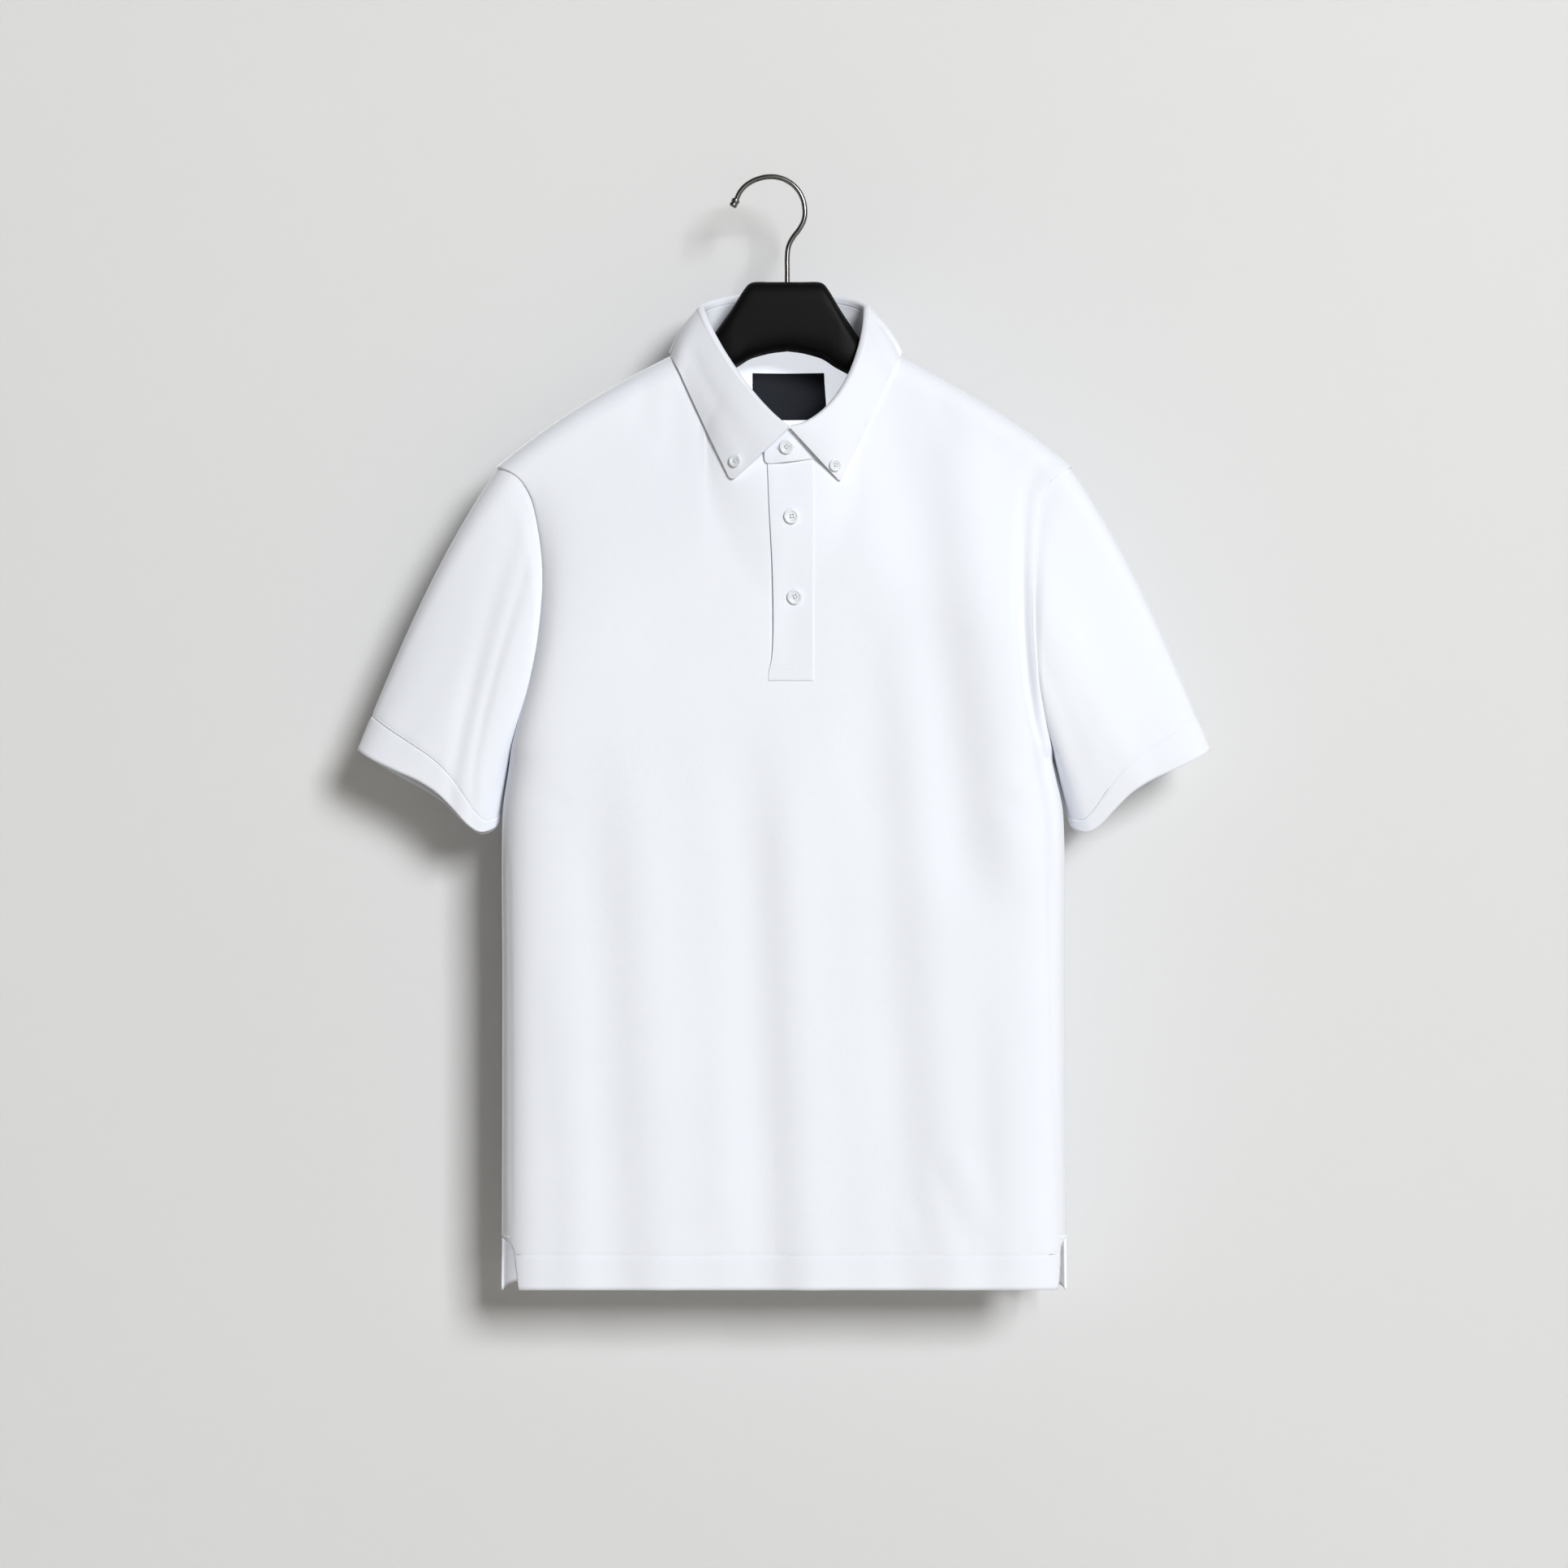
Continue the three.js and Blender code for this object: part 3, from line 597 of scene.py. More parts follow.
def foldAt(face, x, level):
    lift = np.zeros_like(x)
    for fold in folds[face]:
        way = (level - fold["top"]) / (fold["foot"] - fold["top"])
        offset = (x - mix(fold["topX"], fold["footX"], way)) / fold["reach"]
        start = ease((fold["top"] - level) / fold["fade"])
        end = ease((level - fold["foot"]) / fold["fade"]) if fold["foot"] > shirt["hem"] else 1
        lift = lift + fold["lift"] * start * end * offset * np.exp(0.5 - 0.5 * offset * offset)
    for crease in creases[face]:
        run = np.array([crease["toX"] - crease["fromX"], crease["toLevel"] - crease["fromLevel"]])
        length = np.linalg.norm(run)
        run = run / length
        fromX, fromLevel = x - crease["fromX"], level - crease["fromLevel"]
        along = (fromX * run[0] + fromLevel * run[1]) / length
        aside = fromX * run[1] - fromLevel * run[0]
        fade = ease(along / 0.3) * ease((1 - along) / 0.45)
        width = crease["width"] * (0.7 + 0.6 * np.clip(along, 0, 1))
        lift = lift + crease["lift"] * fade * bell(aside / width)
    return lift


def ridgeAt(x, level):
    below = np.clip((shoulderLevel(x) - level) / shirt["shoulderRound"], 0, 1)
    return shirt["shoulderDepth"] * np.sqrt(1 - (1 - below) ** 2)


def fullnessAt(x, level, half, edge, face):
    nearSide = np.minimum(1, np.abs(x) / half)
    rounding = np.sqrt(np.maximum(0, 1 - nearSide ** shirt["sideSquareness"]))
    return mix(edge, readTable(body, "level", face, level), rounding), rounding, nearSide


def bodyPoint(across, down, side, gap=None):
    # across is a column's place at the shoulder; down is 0 at the top, 1 at the underarm, 2 at the hem
    across, down = together(across, down)
    face = "front" if side < 0 else "back"
    top = panelTop(across, side)
    above = down <= 1
    upper = mix(top, shirt["underarm"], down)
    lower = mix(shirt["underarm"], shirt["hem"], down - 1)
    level = np.where(above, upper, lower)
    drop = np.minimum(1, down) * (shirt["shoulderTip"] - shirt["underarm"])
    overHem = level - shirt["hem"]

    def ownSide(rows, key, at):
        return leftRight({name: readTable(rows, key, name, at) for name in ("left", "right")}, across)

    half = np.where(above, ownSide(armhole, "drop", drop), ownSide(body, "level", level))
    edge = readTable(armhole, "drop", "depth", drop)
    if side < 0:
        edge = edge + np.where(across > 0, readTable(armhole, "drop", "proud", drop), 0)
    edge = np.where(above, edge, 0)
    reach = np.abs(across) / shirt["shoulderHalf"]
    x = across + np.sign(across) * (half - shirt["shoulderHalf"]) * reach**3
    if side < 0:
        inset = ownSide(vent, "above", overHem)
        x = x - np.sign(x) * inset * ease((np.abs(x) - half) / shirt["ventReach"] + 1)
    full, rounding, nearSide = fullnessAt(x, level, half, edge, face)
    overNeck = np.abs(across) < neck["half"]
    ring = np.where(overNeck, neck[face] * np.sqrt(neckTurn(across)), 0)
    ridge = ridgeAt(x, level)
    if side < 0:
        spread = (full - shirt["shoulderDepth"]) * ease((shoulderLevel(x) - level) / shirt["chestEase"])
        atNeck = fullnessAt(x, top, half, edge, face)[0] - shirt["shoulderDepth"]
        atNeck = ridgeAt(x, top) + atNeck * ease((shoulderLevel(x) - top) / shirt["chestEase"])
        lift = np.where(overNeck, ring - atNeck, 0) * ease(1 - (top - level) / neck["fade"])
        depth = ridge + spread + lift
    else:
        base = np.maximum(ring, shirt["shoulderDepth"])
        depth = np.maximum(ring, ridge) + (full - base) * ease((top - level) / shirt["chestEase"])
    swell = foldAt(face, x, level) * rounding
    right = (across >= 0) & (side < 0)
    dip = {name: np.where(right, valleys["right"][name], value) for name, value in valleys["left"].items()}
    valley = bell((1 - nearSide - dip["at"]) / dip["width"]) * bell((down - dip["down"]) / dip["reach"])
    valley = valley * dip["depth"]
    uneven = shirt["unevenness"] * ripple(x, level * 0.45, 11 if side < 0 else 12, 70)
    uneven = uneven * rounding * ease((top - level) / 60)
    groove = 0
    if side < 0:
        groove = shirt["seamDepth"] * bell((x - ownSide(sideSeam, "level", level)) / shirt["seamWidth"])
        groove = groove * ease((shirt["seamFrom"] - level) / 40) * ease(overHem / 38 - 1)
    gap = shirt["seamGap"] if gap is None else gap
    depth = np.maximum(0, depth + swell + uneven - valley - groove)
    # the hem's ends hang a little lower, out at the sides
    sag = shirt["hemSag"] * np.maximum(0, 38 - depth) * ease((shirt["ventTop"] + 45 - level) / 75)
    return np.stack([x, side * (depth + gap), level - sag], axis=-1)


def levelPoint(x, level, side):
    # a panel by its place near the middle, where columns run straight down
    x, level = together(x, level)
    top = panelTop(x, side)
    return bodyPoint(x, (level - top) / (shirt["underarm"] - top), side)


def panelColumns(extra=()):
    outer = shirt["shoulderHalf"] - 154 * np.linspace(0, 1, 46) ** 1.3
    angles = np.linspace(0, math.pi / 2, 17)[1:-1]
    half = np.concatenate([outer, neck["half"] * np.cos(angles) ** neck["bow"], [0]])
    return np.unique(np.round(np.concatenate([-half, half[:-1], np.asarray(extra, float)]), 4))


def downAt(level):
    # a level below the underarm, as a share of the way down
    return 1 + (shirt["underarm"] - level) / (shirt["underarm"] - shirt["hem"])


besideStitches = np.array([-2.5, -1.6, -0.9, -0.3, 0.3, 0.9, 1.6, 2.5])


def panelRows():
    long = shirt["underarm"] - shirt["hem"]
    upper = np.concatenate([[0, 0.004, 0.01, 0.018, 0.028, 0.04], np.linspace(0.055, 1, 92)])
    near = downAt(shirt["hem"] + shirt["hemDepth"]) + besideStitches / long
    nearVent = downAt(shirt["ventTop"]) + np.array([-1, 0, 1.5, 3, 4.5]) / long
    lower = np.concatenate([np.linspace(1, 2, 122)[1:], near, nearVent])
    return np.unique(np.round(np.concatenate([upper, lower]), 6))


def hemLift(past):
    # a turned-up hem is a layer thicker, and its stitching pulls a shallow groove
    return 0.35 * ease(past / 2) - 0.45 * bell(past / 1.2)


def hemPoint(across, down, side):
    point = bodyPoint(across, down, side)
    above = point[..., 2] - (shirt["hem"] + shirt["hemDepth"])
    lift = hemLift(-above) + 0.2 * ripple(point[..., 0], point[..., 2] * 0.4, 21, 13) * bell(above / 14)
    point[..., 1] += side * lift
    return point


placket = {
    "left": -11.4,
    "right": 21.6,
    "bottom": -375,
    "slash": (-7.5, 18),
    "slashBottom": -366,
    "boxTop": -366.5,
    "flush": 0.45,  # how far the strip stands off where it is sewn flat
    "underBehind": 1.75,
    "topStart": 3.5,  # where each strip starts, above the neck's lowest point
    "underStart": -4,
    "underInset": 1.5,
}
# The strip's free edge, and how far it curls off the front
freeEdge = table(
    "level x curl",
    (-375, -11.4, 0),
    (-367, -11, 0.3),
    (-362, -9.6, 0.7),
    (-350, -8.2, 1.2),
    (-327, -7.8, 1.5),
    (-291, -8.5, 1.3),
    (-250, -10.6, 1.0),
    (-232, -11.4, 0.9),
    (-205, -12.6, 0.7),
)


def makeFront():
    columns = panelColumns([*placket["slash"], *np.linspace(196, 212, 17), *-np.linspace(202, 211, 10)])
    rows = panelRows()
    points = hemPoint(columns[:, None], rows[None, :], -1)
    inSlash = (columns[:-1] >= placket["slash"][0] - 0.01) & (columns[:-1] < placket["slash"][1] - 0.01)
    keep = ~(inSlash[:, None] & (points[:-1, :-1, 2] > placket["slashBottom"]))
    return clothMesh("frontCloth", points, points[..., [0, 2]], whiteKnit, keep=keep)


def makeBack():
    columns = panelColumns()[::-1]
    points = hemPoint(columns[:, None], panelRows()[None, :], 1)
    return clothMesh("backCloth", points, points[..., [0, 2]], whiteKnit)


def hemStitches(side):
    # the row above the hem, from vent to vent
    down = downAt(shirt["hem"] + shirt["hemDepth"])
    path = pathOn(lambda a, d: hemPoint(a, d, side), np.linspace(-207, 207, 400), down, (0, side, 0))
    name = "hemStitchesFront" if side < 0 else "hemStitchesBack"
    return stitchRow(name, path, whiteThread, shirt["cloth"] / 2 + 0.05)


def ventTacks():
    # a short bar of satin stitches closes the top of each vent
    tacks = []
    for name, sign in (("Left", -1), ("Right", 1)):
        across = sign * (shirt["shoulderHalf"] - np.linspace(7, 1, 12))
        down = downAt(shirt["ventTop"] + 1)
        points, normals = pathOn(lambda a, d: bodyPoint(a, d, -1), across, down, (0, -1, 0))
        points = points + normals * (shirt["cloth"] / 2 + 0.1)
        drop = np.array([0, 0, -0.9])
        bars = points - drop, points + drop, normals[:, None]
        tacks.append(barsBetween(f"ventTack{name}", *bars, 0.25, whiteThread))
    return tacks


frontCloth = thicken(makeFront(), shirt["cloth"])
backCloth = thicken(makeBack(), shirt["cloth"])
threads = [hemStitches(-1), hemStitches(1), *ventTacks()]
print("body panels made")


# Sleeves: a tube from the armhole to the cuff

sleeve = {
    "tuck": 2.2,  # how far the sleeve runs in under the body's edge
    "tuckDepth": {"left": 1.2, "right": -0.9},  # sunk under the body's edge, or lying over it
    "underarmGap": 1.2,
    "bow": 7,
    "puff": 5.5,
    "roll": {"left": 3.2, "right": 3.0},  # how the sleeve swells just past its seam
    "hem": 23,
    "backDrop": {"left": 7, "right": 3},
}
cuff = table(
    "way out level depth",
    (0, 317, -425.5, 0),
    (0.02, 316, -426, 8),
    (0.1, 307, -431.5, 16),
    (0.24, 289, -440, 20),
    (0.4, 271, -448, 21.5),
    (0.55, 257, -457, 21),
    (0.7, 245, -469, 19),
    (0.82, 234, -481, 16),
    (0.91, 225, -486, 12),
    (0.97, 216, -483, 6),
    (1, 213, -478, 0),
)
sleeveFolds = {
    "left": table(
        "head end width lift",
        (0.05, 0.68, 0.055, -1.6),
        (0.2, 0.88, 0.04, -1.0),
        (0.24, 0.3, 0.08, 0.6),
    ),
    "right": table(
        "head end width lift",
        (0.62, 0.84, 0.06, -1.3),
        (0.2, 0.34, 0.08, -1.0),
        (0.4, 0.5, 0.08, 0.9),
    ),
}


def sleevePoint(name, way, along):
    way, along = together(way, along)
    sign = -1 if name == "left" else 1
    side = np.where(way <= 1, -1, 1)
    down = np.where(way <= 1, way, 2 - way)
    across = np.sin(math.pi * down)
    fore = bodyPoint(sign * shirt["shoulderHalf"], down, -1, 0)
    rear = bodyPoint(sign * shirt["shoulderHalf"], down, 1, 0)
    start = np.where((side < 0)[..., None], fore, rear)
    nearUnderarm = ease((down - 0.7) / 0.3)
    start[..., 0] += sign * (sleeve["underarmGap"] * nearUnderarm - sleeve["tuck"] * (1 - nearUnderarm))
    out, depth, level = (readTable(cuff, "way", key, down) for key in ("out", "depth", "level"))
    backDrop = np.where(side > 0, sleeve["backDrop"][name] * across, 0)
    end = np.stack([sign * out, side * depth, level - backDrop], axis=-1)
    point = mix(start, end, along[..., None])
    bow = sleeve["bow"] * np.sin(math.pi * along**0.8) * (1 - down) ** 1.5
    swell = sleeve["puff"] * np.sin(math.pi * along) * across
    roll = sleeve["roll"][name] * ease(along / 0.09) * (1 - ease((along - 0.09) / 0.5)) * across**0.6
    sunk = np.where(side < 0, sleeve["tuckDepth"][name], sleeve["tuckDepth"]["left"])
    tuck = sunk * (1 - ease(along / 0.035)) * across**0.4
    crease = np.zeros_like(swell)
    for fold in sleeveFolds[name]:
        crease += fold["lift"] * bell((down - mix(fold["head"], fold["end"], along)) / fold["width"])
    uneven = 0.3 * ripple(down * 150, along * 90, 31 + sign, 60)
    point[..., 0] += sign * bow * 0.9
    point[..., 2] += bow * 0.44
    point[..., 1] += side * (swell + roll - tuck + (crease * ease(along / 0.12) + uneven) * across)
    return point


def sleeveLength(name):
    line = sleevePoint(name, 0.3, np.linspace(0, 1, 60))
    return np.linalg.norm(np.diff(line, axis=0), axis=1).sum()


def makeSleeve(name):
    top, underarm = [0, 0.004, 0.01, 0.02, 0.032, 0.048], [0.975, 0.987, 0.995]
    half = np.concatenate([top, np.linspace(0.065, 0.96, 60), underarm])
    ways = np.concatenate([half, [1], 2 - half[::-1][:-1]])
    ways = ways[::-1] if name == "right" else ways
    length = sleeveLength(name)
    stitch = 1 - sleeve["hem"] / length
    near = stitch + besideStitches / length
    along = np.unique(np.concatenate([np.linspace(0, 0.06, 10), np.linspace(0.06, 1, 84), near]))
    points = sleevePoint(name, ways[:, None], along[None, :])
    past = (along - stitch) * length
    pucker = 0.18 * ripple(ways[:, None] * 150, along[None, :] * 80, 41, 12) * bell(past / 12)
    points = points + gridNormals(points, closed=True) * (hemLift(past) + pucker)[..., None]
    uv = np.stack(together(ways[:, None] * 165, -along[None, :] * length), axis=-1)
    piece = clothMesh("sleeve" + name.title() + "Cloth", points, uv, whiteKnit, closed=True)
    return thicken(piece, shirt["cloth"])


def cuffStitches(name):
    stitch = 1 - sleeve["hem"] / sleeveLength(name)
    rows = []
    for half, low, side in (("Front", 0.01, -1), ("Back", 1.01, 1)):
        ways = np.linspace(low, low + 0.98, 160)
        path = pathOn(lambda w, a: sleevePoint(name, w, a), ways, stitch, (0, side, 0), 0.001)
        rowName = f"cuffStitches{name.title()}{half}"
        rows.append(stitchRow(rowName, path, whiteThread, shirt["cloth"] / 2 - 0.35))
    return rows


sleeves = {name: makeSleeve(name) for name in ("left", "right")}
threads += cuffStitches("left") + cuffStitches("right")
print("sleeves made")


# Collar: a stand round the neck and a leaf folded over it

collar = {
    "cloth": 1.9,
    "standCloth": 1.7,
    "sideFold": -97,
    "frontFold": -190,
    "backFold": -82,
    "frontReach": 45,
    "backReach": 34,
    "bow": {"left": 1.6, "right": 1.14},
    "planBow": 0.75,
    "frontShift": 4,
    "standTop": 0.9,
    "leafStart": 0.89,
    "lap": 0.116,  # how far the upper end runs past the centre, as a share of half the ring
    "underLap": 0.05,
    "seatGap": 1.2,
    "sideLift": 1.1,
    "endRound": 4,
    "seamLevel": -214.6,  # the stand's seam at the centre front, and its slant to the right
    "seamSlant": 0.12,
    "footOut": 2.0,  # the foot stands off the placket's top by a cloth's thickness
    "roll": 2.0,
    "rollFrom": 0.1,  # the share of the leaf's way where it turns over
    "rollTo": 0.3,
    "bulge": 2.4,
    "endGap": 0.6,
}
leafEdge = {
    "side": {"left": 85, "right": 87.5},
    "sideLevel": -129.3,
    "tip": {"left": 38.5, "right": 41},
    "tipLevel": -229,
    "rest": {"left": 2.0, "right": 2.3},  # the edge rests this far off the front's middle surface
    "tipRound": {"left": 6, "right": 3},
    "backReach": 41,
    "lift": 0.7,
    "run": 1.4,
    "crease": {"left": -0.8, "right": -0.3},
}


def roundNeck(around):
    angle = around * math.pi
    return np.sin(angle), np.abs(np.cos(angle)), np.abs(around) > 0.5


def outward(around):
    return np.stack([np.sin(around * math.pi), np.cos(around * math.pi), 0 * around], axis=-1)


def neckPoint(around):
    side, turn, inFront = roundNeck(around)
    x = neck["half"] * np.sign(side) * np.abs(side) ** neck["bow"]
    y = np.where(inFront, -neck["front"], neck["back"]) * np.sqrt(turn)
    fore = neck["level"] - neck["frontDrop"] * turn ** neck["bow"]
    rear = neck["level"] + neck["backRise"] * turn
    return np.stack([x, y, np.where(inFront, fore, rear)], axis=-1)


def foldPoint(around):
    side, turn, inFront = roundNeck(around)
    bow = np.where(inFront, leftRight(collar["bow"], around), 1)
    shift = np.where(inFront, collar["frontShift"] * turn**2, 0)
    x = neck["half"] * np.sign(side) * np.abs(side) ** bow + shift
    y = np.where(inFront, -collar["frontReach"], collar["backReach"]) * turn ** collar["planBow"]
    low = np.where(inFront, collar["frontFold"], collar["backFold"])
    return np.stack([x, y, mix(collar["sideFold"], low, turn**bow)], axis=-1)


def leafEdgePoint(around):
    sine, turn, inFront = roundNeck(around)
    side = leftRight(leafEdge["side"], around)
    part = turn ** leafEdge["run"]
    level = leafEdge["sideLevel"]
    rear = [side * sine, leafEdge["backReach"] * turn**0.6, level + 0 * turn]
    x = np.sign(around) * mix(side, leftRight(leafEdge["tip"], around), part)
    z = mix(level, leafEdge["tipLevel"], part)
    top = panelTop(x, -1)
    front = bodyPoint(x, np.maximum(0, (top - z) / (top - shirt["underarm"])), -1)[..., 1]
    rest = leftRight(leafEdge["rest"], around) + leafEdge["lift"] * np.sin(math.pi * part)
    fore = [x, front - rest * ease(part / 0.12), z]
    return np.where(inFront[..., None], np.stack(fore, axis=-1), np.stack(rear, axis=-1))


def standPoint(around, up):
    around, up = together(around, up)
    foot = neckPoint(around)
    top = foldPoint(around)
    height = np.linalg.norm(top - foot, axis=-1)
    sideways = np.abs(np.sin(around * math.pi)) ** 4
    start = (collar["seatGap"] + collar["sideLift"] * sideways) / height
    point = mix(foot, top, mix(start, collar["standTop"], up)[..., None])
    # at the front the stand's foot runs straight across the top of the placket
    front = ease((around - 0.76) / 0.08)
    seam = collar["seamLevel"] + collar["seamSlant"] * point[..., 0]
    fromEnd = (1 + collar["lap"] - around) * 120
    past = np.maximum(0, collar["endRound"] - fromEnd)
    corner = collar["endRound"] - np.sqrt(np.maximum(0, collar["endRound"] ** 2 - past**2))
    point[..., 2] = mix(point[..., 2], mix(seam, top[..., 2], up) + corner * (1 - up), front)
    point[..., 1] -= front * (collar["footOut"] * (1 - up) + 0.4) - 1.2 * ease((-around - 0.8) / 0.2)
    return point


def leafPoint(around, way):
    around, way = together(around, way)
    start, end = collar["rollFrom"], collar["rollTo"]
    fold = foldPoint(around)
    edge = leafEdgePoint(around)
    out = outward(around)
    inner = mix(neckPoint(around), fold, mix(collar["leafStart"], 1, np.clip(way / start, 0, 1))[..., None])
    turned = math.pi * np.clip((way - start) / (end - start), 0, 1)
    crest = fold + out * (collar["roll"] * (1 - np.cos(turned)))[..., None]
    crest[..., 2] += collar["roll"] * 0.8 * np.sin(turned)
    part = np.clip((way - end) / (1 - end), 0, 1)
    rolled = fold + out * (2 * collar["roll"])
    along = np.abs(around)
    crease = leftRight(leafEdge["crease"], around) * bell((part - 0.52) / 0.13)
    crease = crease * ease((along - 0.53) / 0.12) * ease((0.99 - along) / 0.1)
    flat = 1 - 0.9 * ease((around - 0.82) / 0.18)  # the right leaf lies flatter along its front edge
    lift = collar["bulge"] * flat * np.sin(math.pi * part) + crease
    fall = mix(rolled, edge, part[..., None]) + out * lift[..., None]
    point = np.where((way < start)[..., None], inner, np.where((way <= end)[..., None], crest, fall))
    point[..., 0] += np.sign(around) * collar["endGap"] * ease((np.abs(around) - 0.9) / 0.1)
    pucker = 0.22 * ripple(around * 180, way * 30, 51, 9) * bell((way - 0.2) / 0.09)
    return point + out * pucker[..., None]


def roundedLeaf(turns, ways):
    # the leaf's points with the corner at each tip drawn in to a soft round
    points = leafPoint(turns[:, None], ways[None, :])
    for sign, name in ((-1, "left"), (1, "right")):
        tipRound = leafEdge["tipRound"][name]
        tip = leafPoint(sign, 1.0)
        toFold = unit(leafPoint(sign, 0.8) - tip)
        toSide = unit(leafPoint(sign * 0.8, 1.0) - tip)
        lower = leafPoint(turns[:, None], 1.0 + 0 * ways[None, :])
        fromEdge = np.linalg.norm(points - lower, axis=-1)
        front = leafPoint(sign + 0 * turns[:, None], ways[None, :])
        fromFront = np.linalg.norm(points - front, axis=-1)
        u, v = 1 - fromFront / tipRound, 1 - fromEdge / tipRound
        chosen = (u > 0) & (v > 0) & (turns[:, None] * sign > 0.5)
        u, v = np.where(chosen, u, 0), np.where(chosen, v, 0)
        inSide = tipRound * (u - u * np.sqrt(1 - v * v / 2))
        inUp = tipRound * (v - v * np.sqrt(1 - u * u / 2))
        points = points + inSide[..., None] * toSide + inUp[..., None] * toFold
    return points


def collarTurns(start, end):
    front = np.concatenate([np.linspace(0.53, 0.9, 50), np.linspace(0.9, 1, 26)[1:]])
    half = np.concatenate([np.linspace(0, 0.47, 36), np.linspace(0.476, 0.524, 13), front])
    ends = [np.linspace(1, end, 22)[1:], np.linspace(-1, start, 8)[1:]]
    return np.unique(np.concatenate([half, -half, *ends]))[::-1]


def makeStand():
    turns = collarTurns(-1 - collar["underLap"], 1 + collar["lap"])
    ups = np.linspace(1, 0, 24)
    points = standPoint(turns[:, None], ups[None, :])
    uv = np.stack(together(turns[:, None] * 200, ups[None, :] * 28), axis=-1)
    return thicken(clothMesh("collarStandCloth", points, uv, collarShadedKnit), collar["standCloth"])


def makeLeaf():
    turns = collarTurns(-1, 1)
    nearEdge = 1 - np.linspace(1, 0, 18) ** 1.3 * 0.16
    start, end = collar["rollFrom"], collar["rollTo"]
    inner, roll = np.linspace(0, start, 5), np.linspace(start, end, 15)[1:]
    ways = np.concatenate([inner, roll, np.linspace(end, 0.84, 34)[1:], nearEdge[1:]])
    points = roundedLeaf(turns, ways)
    uv = np.stack(together(turns[:, None] * 215, -ways[None, :] * 62), axis=-1)
    return thicken(clothMesh("collarLeafCloth", points, uv, collarShadedKnit), collar["cloth"])


def collarStitches():
    onStand = collar["standCloth"] / 2 + 0.02
    end = 1 + collar["lap"] - 0.02
    around = np.linspace(-0.62, 0.62, 300)
    inward = -outward(around)
    runs = [
        ("Foot", np.linspace(end, 0.8, 90), 0.1, (0, -1, 0), 2.4),
        ("End", end, np.linspace(0.1, 0.85, 40), (0, -1, 0), 2.4),
        ("Inside", around, 0.92, inward, None),
        ("Lower", around, 0.62, inward, None),
    ]
    rows = []
    for name, turns, up, toward, pitch in runs:
        path = pathOn(standPoint, turns, up, toward, 0.001)
        rows.append(stitchRow("standStitches" + name, path, whiteThread, onStand, pitch))
    return rows


standCloth = makeStand()
leafCloth = makeLeaf()
threads += collarStitches()
print("collar made")


# Placket strips

def stripPoint(x, level, side):
    # the upper strip lies flat at its sewn side and curls off the front at its free edge
    point = levelPoint(x, level, -1)
    if side > 0:
        point[..., 1] += placket["underBehind"]
        return point
    nearFree = bell((x - readTable(freeEdge, "level", "x", level)) / 6.5)
    point[..., 1] -= placket["flush"] + readTable(freeEdge, "level", "curl", level) * nearFree
    return point


def makeStrip(side):
    start = placket["topStart" if side < 0 else "underStart"]
    level = mix(neck["level"] - neck["frontDrop"] + start, placket["bottom"], np.linspace(0, 1, 130))
    if side < 0:
        free = readTable(freeEdge, "level", "x", level)
    else:
        free = placket["left"] + placket["underInset"] + 0 * level
    x = mix(free[None, :], placket["right"], np.linspace(0, 1, 34)[:, None] ** 1.4)
    points = stripPoint(x, level[None, :], side)
    name = "placketUnderCloth" if side > 0 else "placketTopCloth"
    return thicken(clothMesh(name, points, points[..., [0, 2]], collarShadedKnit), shirt["cloth"])


def placketStitches():
    def place(x, level):
        return stripPoint(x, level, -1)

    above = shirt["cloth"] / 2 + 0.02
    top, foot = placket["boxTop"], placket["bottom"] + 1.6
    rows = []
    for name, level in (("Top", top), ("Foot", foot)):
        across = np.linspace(placket["left"] + 1.6, placket["right"] - 1.4, 60)
        path = pathOn(place, across, level, (0, -1, 0), 0.05)
        rows.append(stitchRow(f"placketStitches{name}", path, whiteThread, above, 2.4, 0.22))
    for name, x, high in (("Left", placket["left"] + 1.6, top), ("Right", placket["right"] - 1.4, -222)):
        path = pathOn(place, x, np.linspace(high, foot, 80), (0, -1, 0), 0.05)
        rows.append(stitchRow(f"placketStitches{name}", path, whiteThread, above - 0.12, 2.4))
    return rows


topStrip = makeStrip(-1)
underStrip = makeStrip(1)
threads += placketStitches()
print("placket made")


# Neck label, bare

label = {
    "centre": 3.3,
    "width": 54,
    "top": -141.2,
    "height": 35,
    "cloth": 0.7,
    "gap": 0.4,
    "edge": 1.6,
    "foldLine": 23,
    "pull": 1.6,
}


def labelPoint(x, level):
    point = levelPoint(x, level, 1)
    point[..., 1] -= shirt["cloth"] / 2 + label["gap"] + label["cloth"] / 2
    return point


def makeLabel():
    columns = label["centre"] + label["width"] * np.linspace(0.5, -0.5, 28)
    levels = label["top"] - label["height"] * np.linspace(0, 1, 20)
    # the lower right corner pulls a little to the side
    toSide = ease((columns[:, None] - label["centre"]) / (label["width"] / 2))
    toFoot = ease((label["top"] - levels[None, :]) / 30)
    points = labelPoint(columns[:, None] + label["pull"] * toSide * toFoot, levels[None, :])
    return thicken(clothMesh("neckLabelTape", points, points[..., [0, 2]], navyTape), label["cloth"])


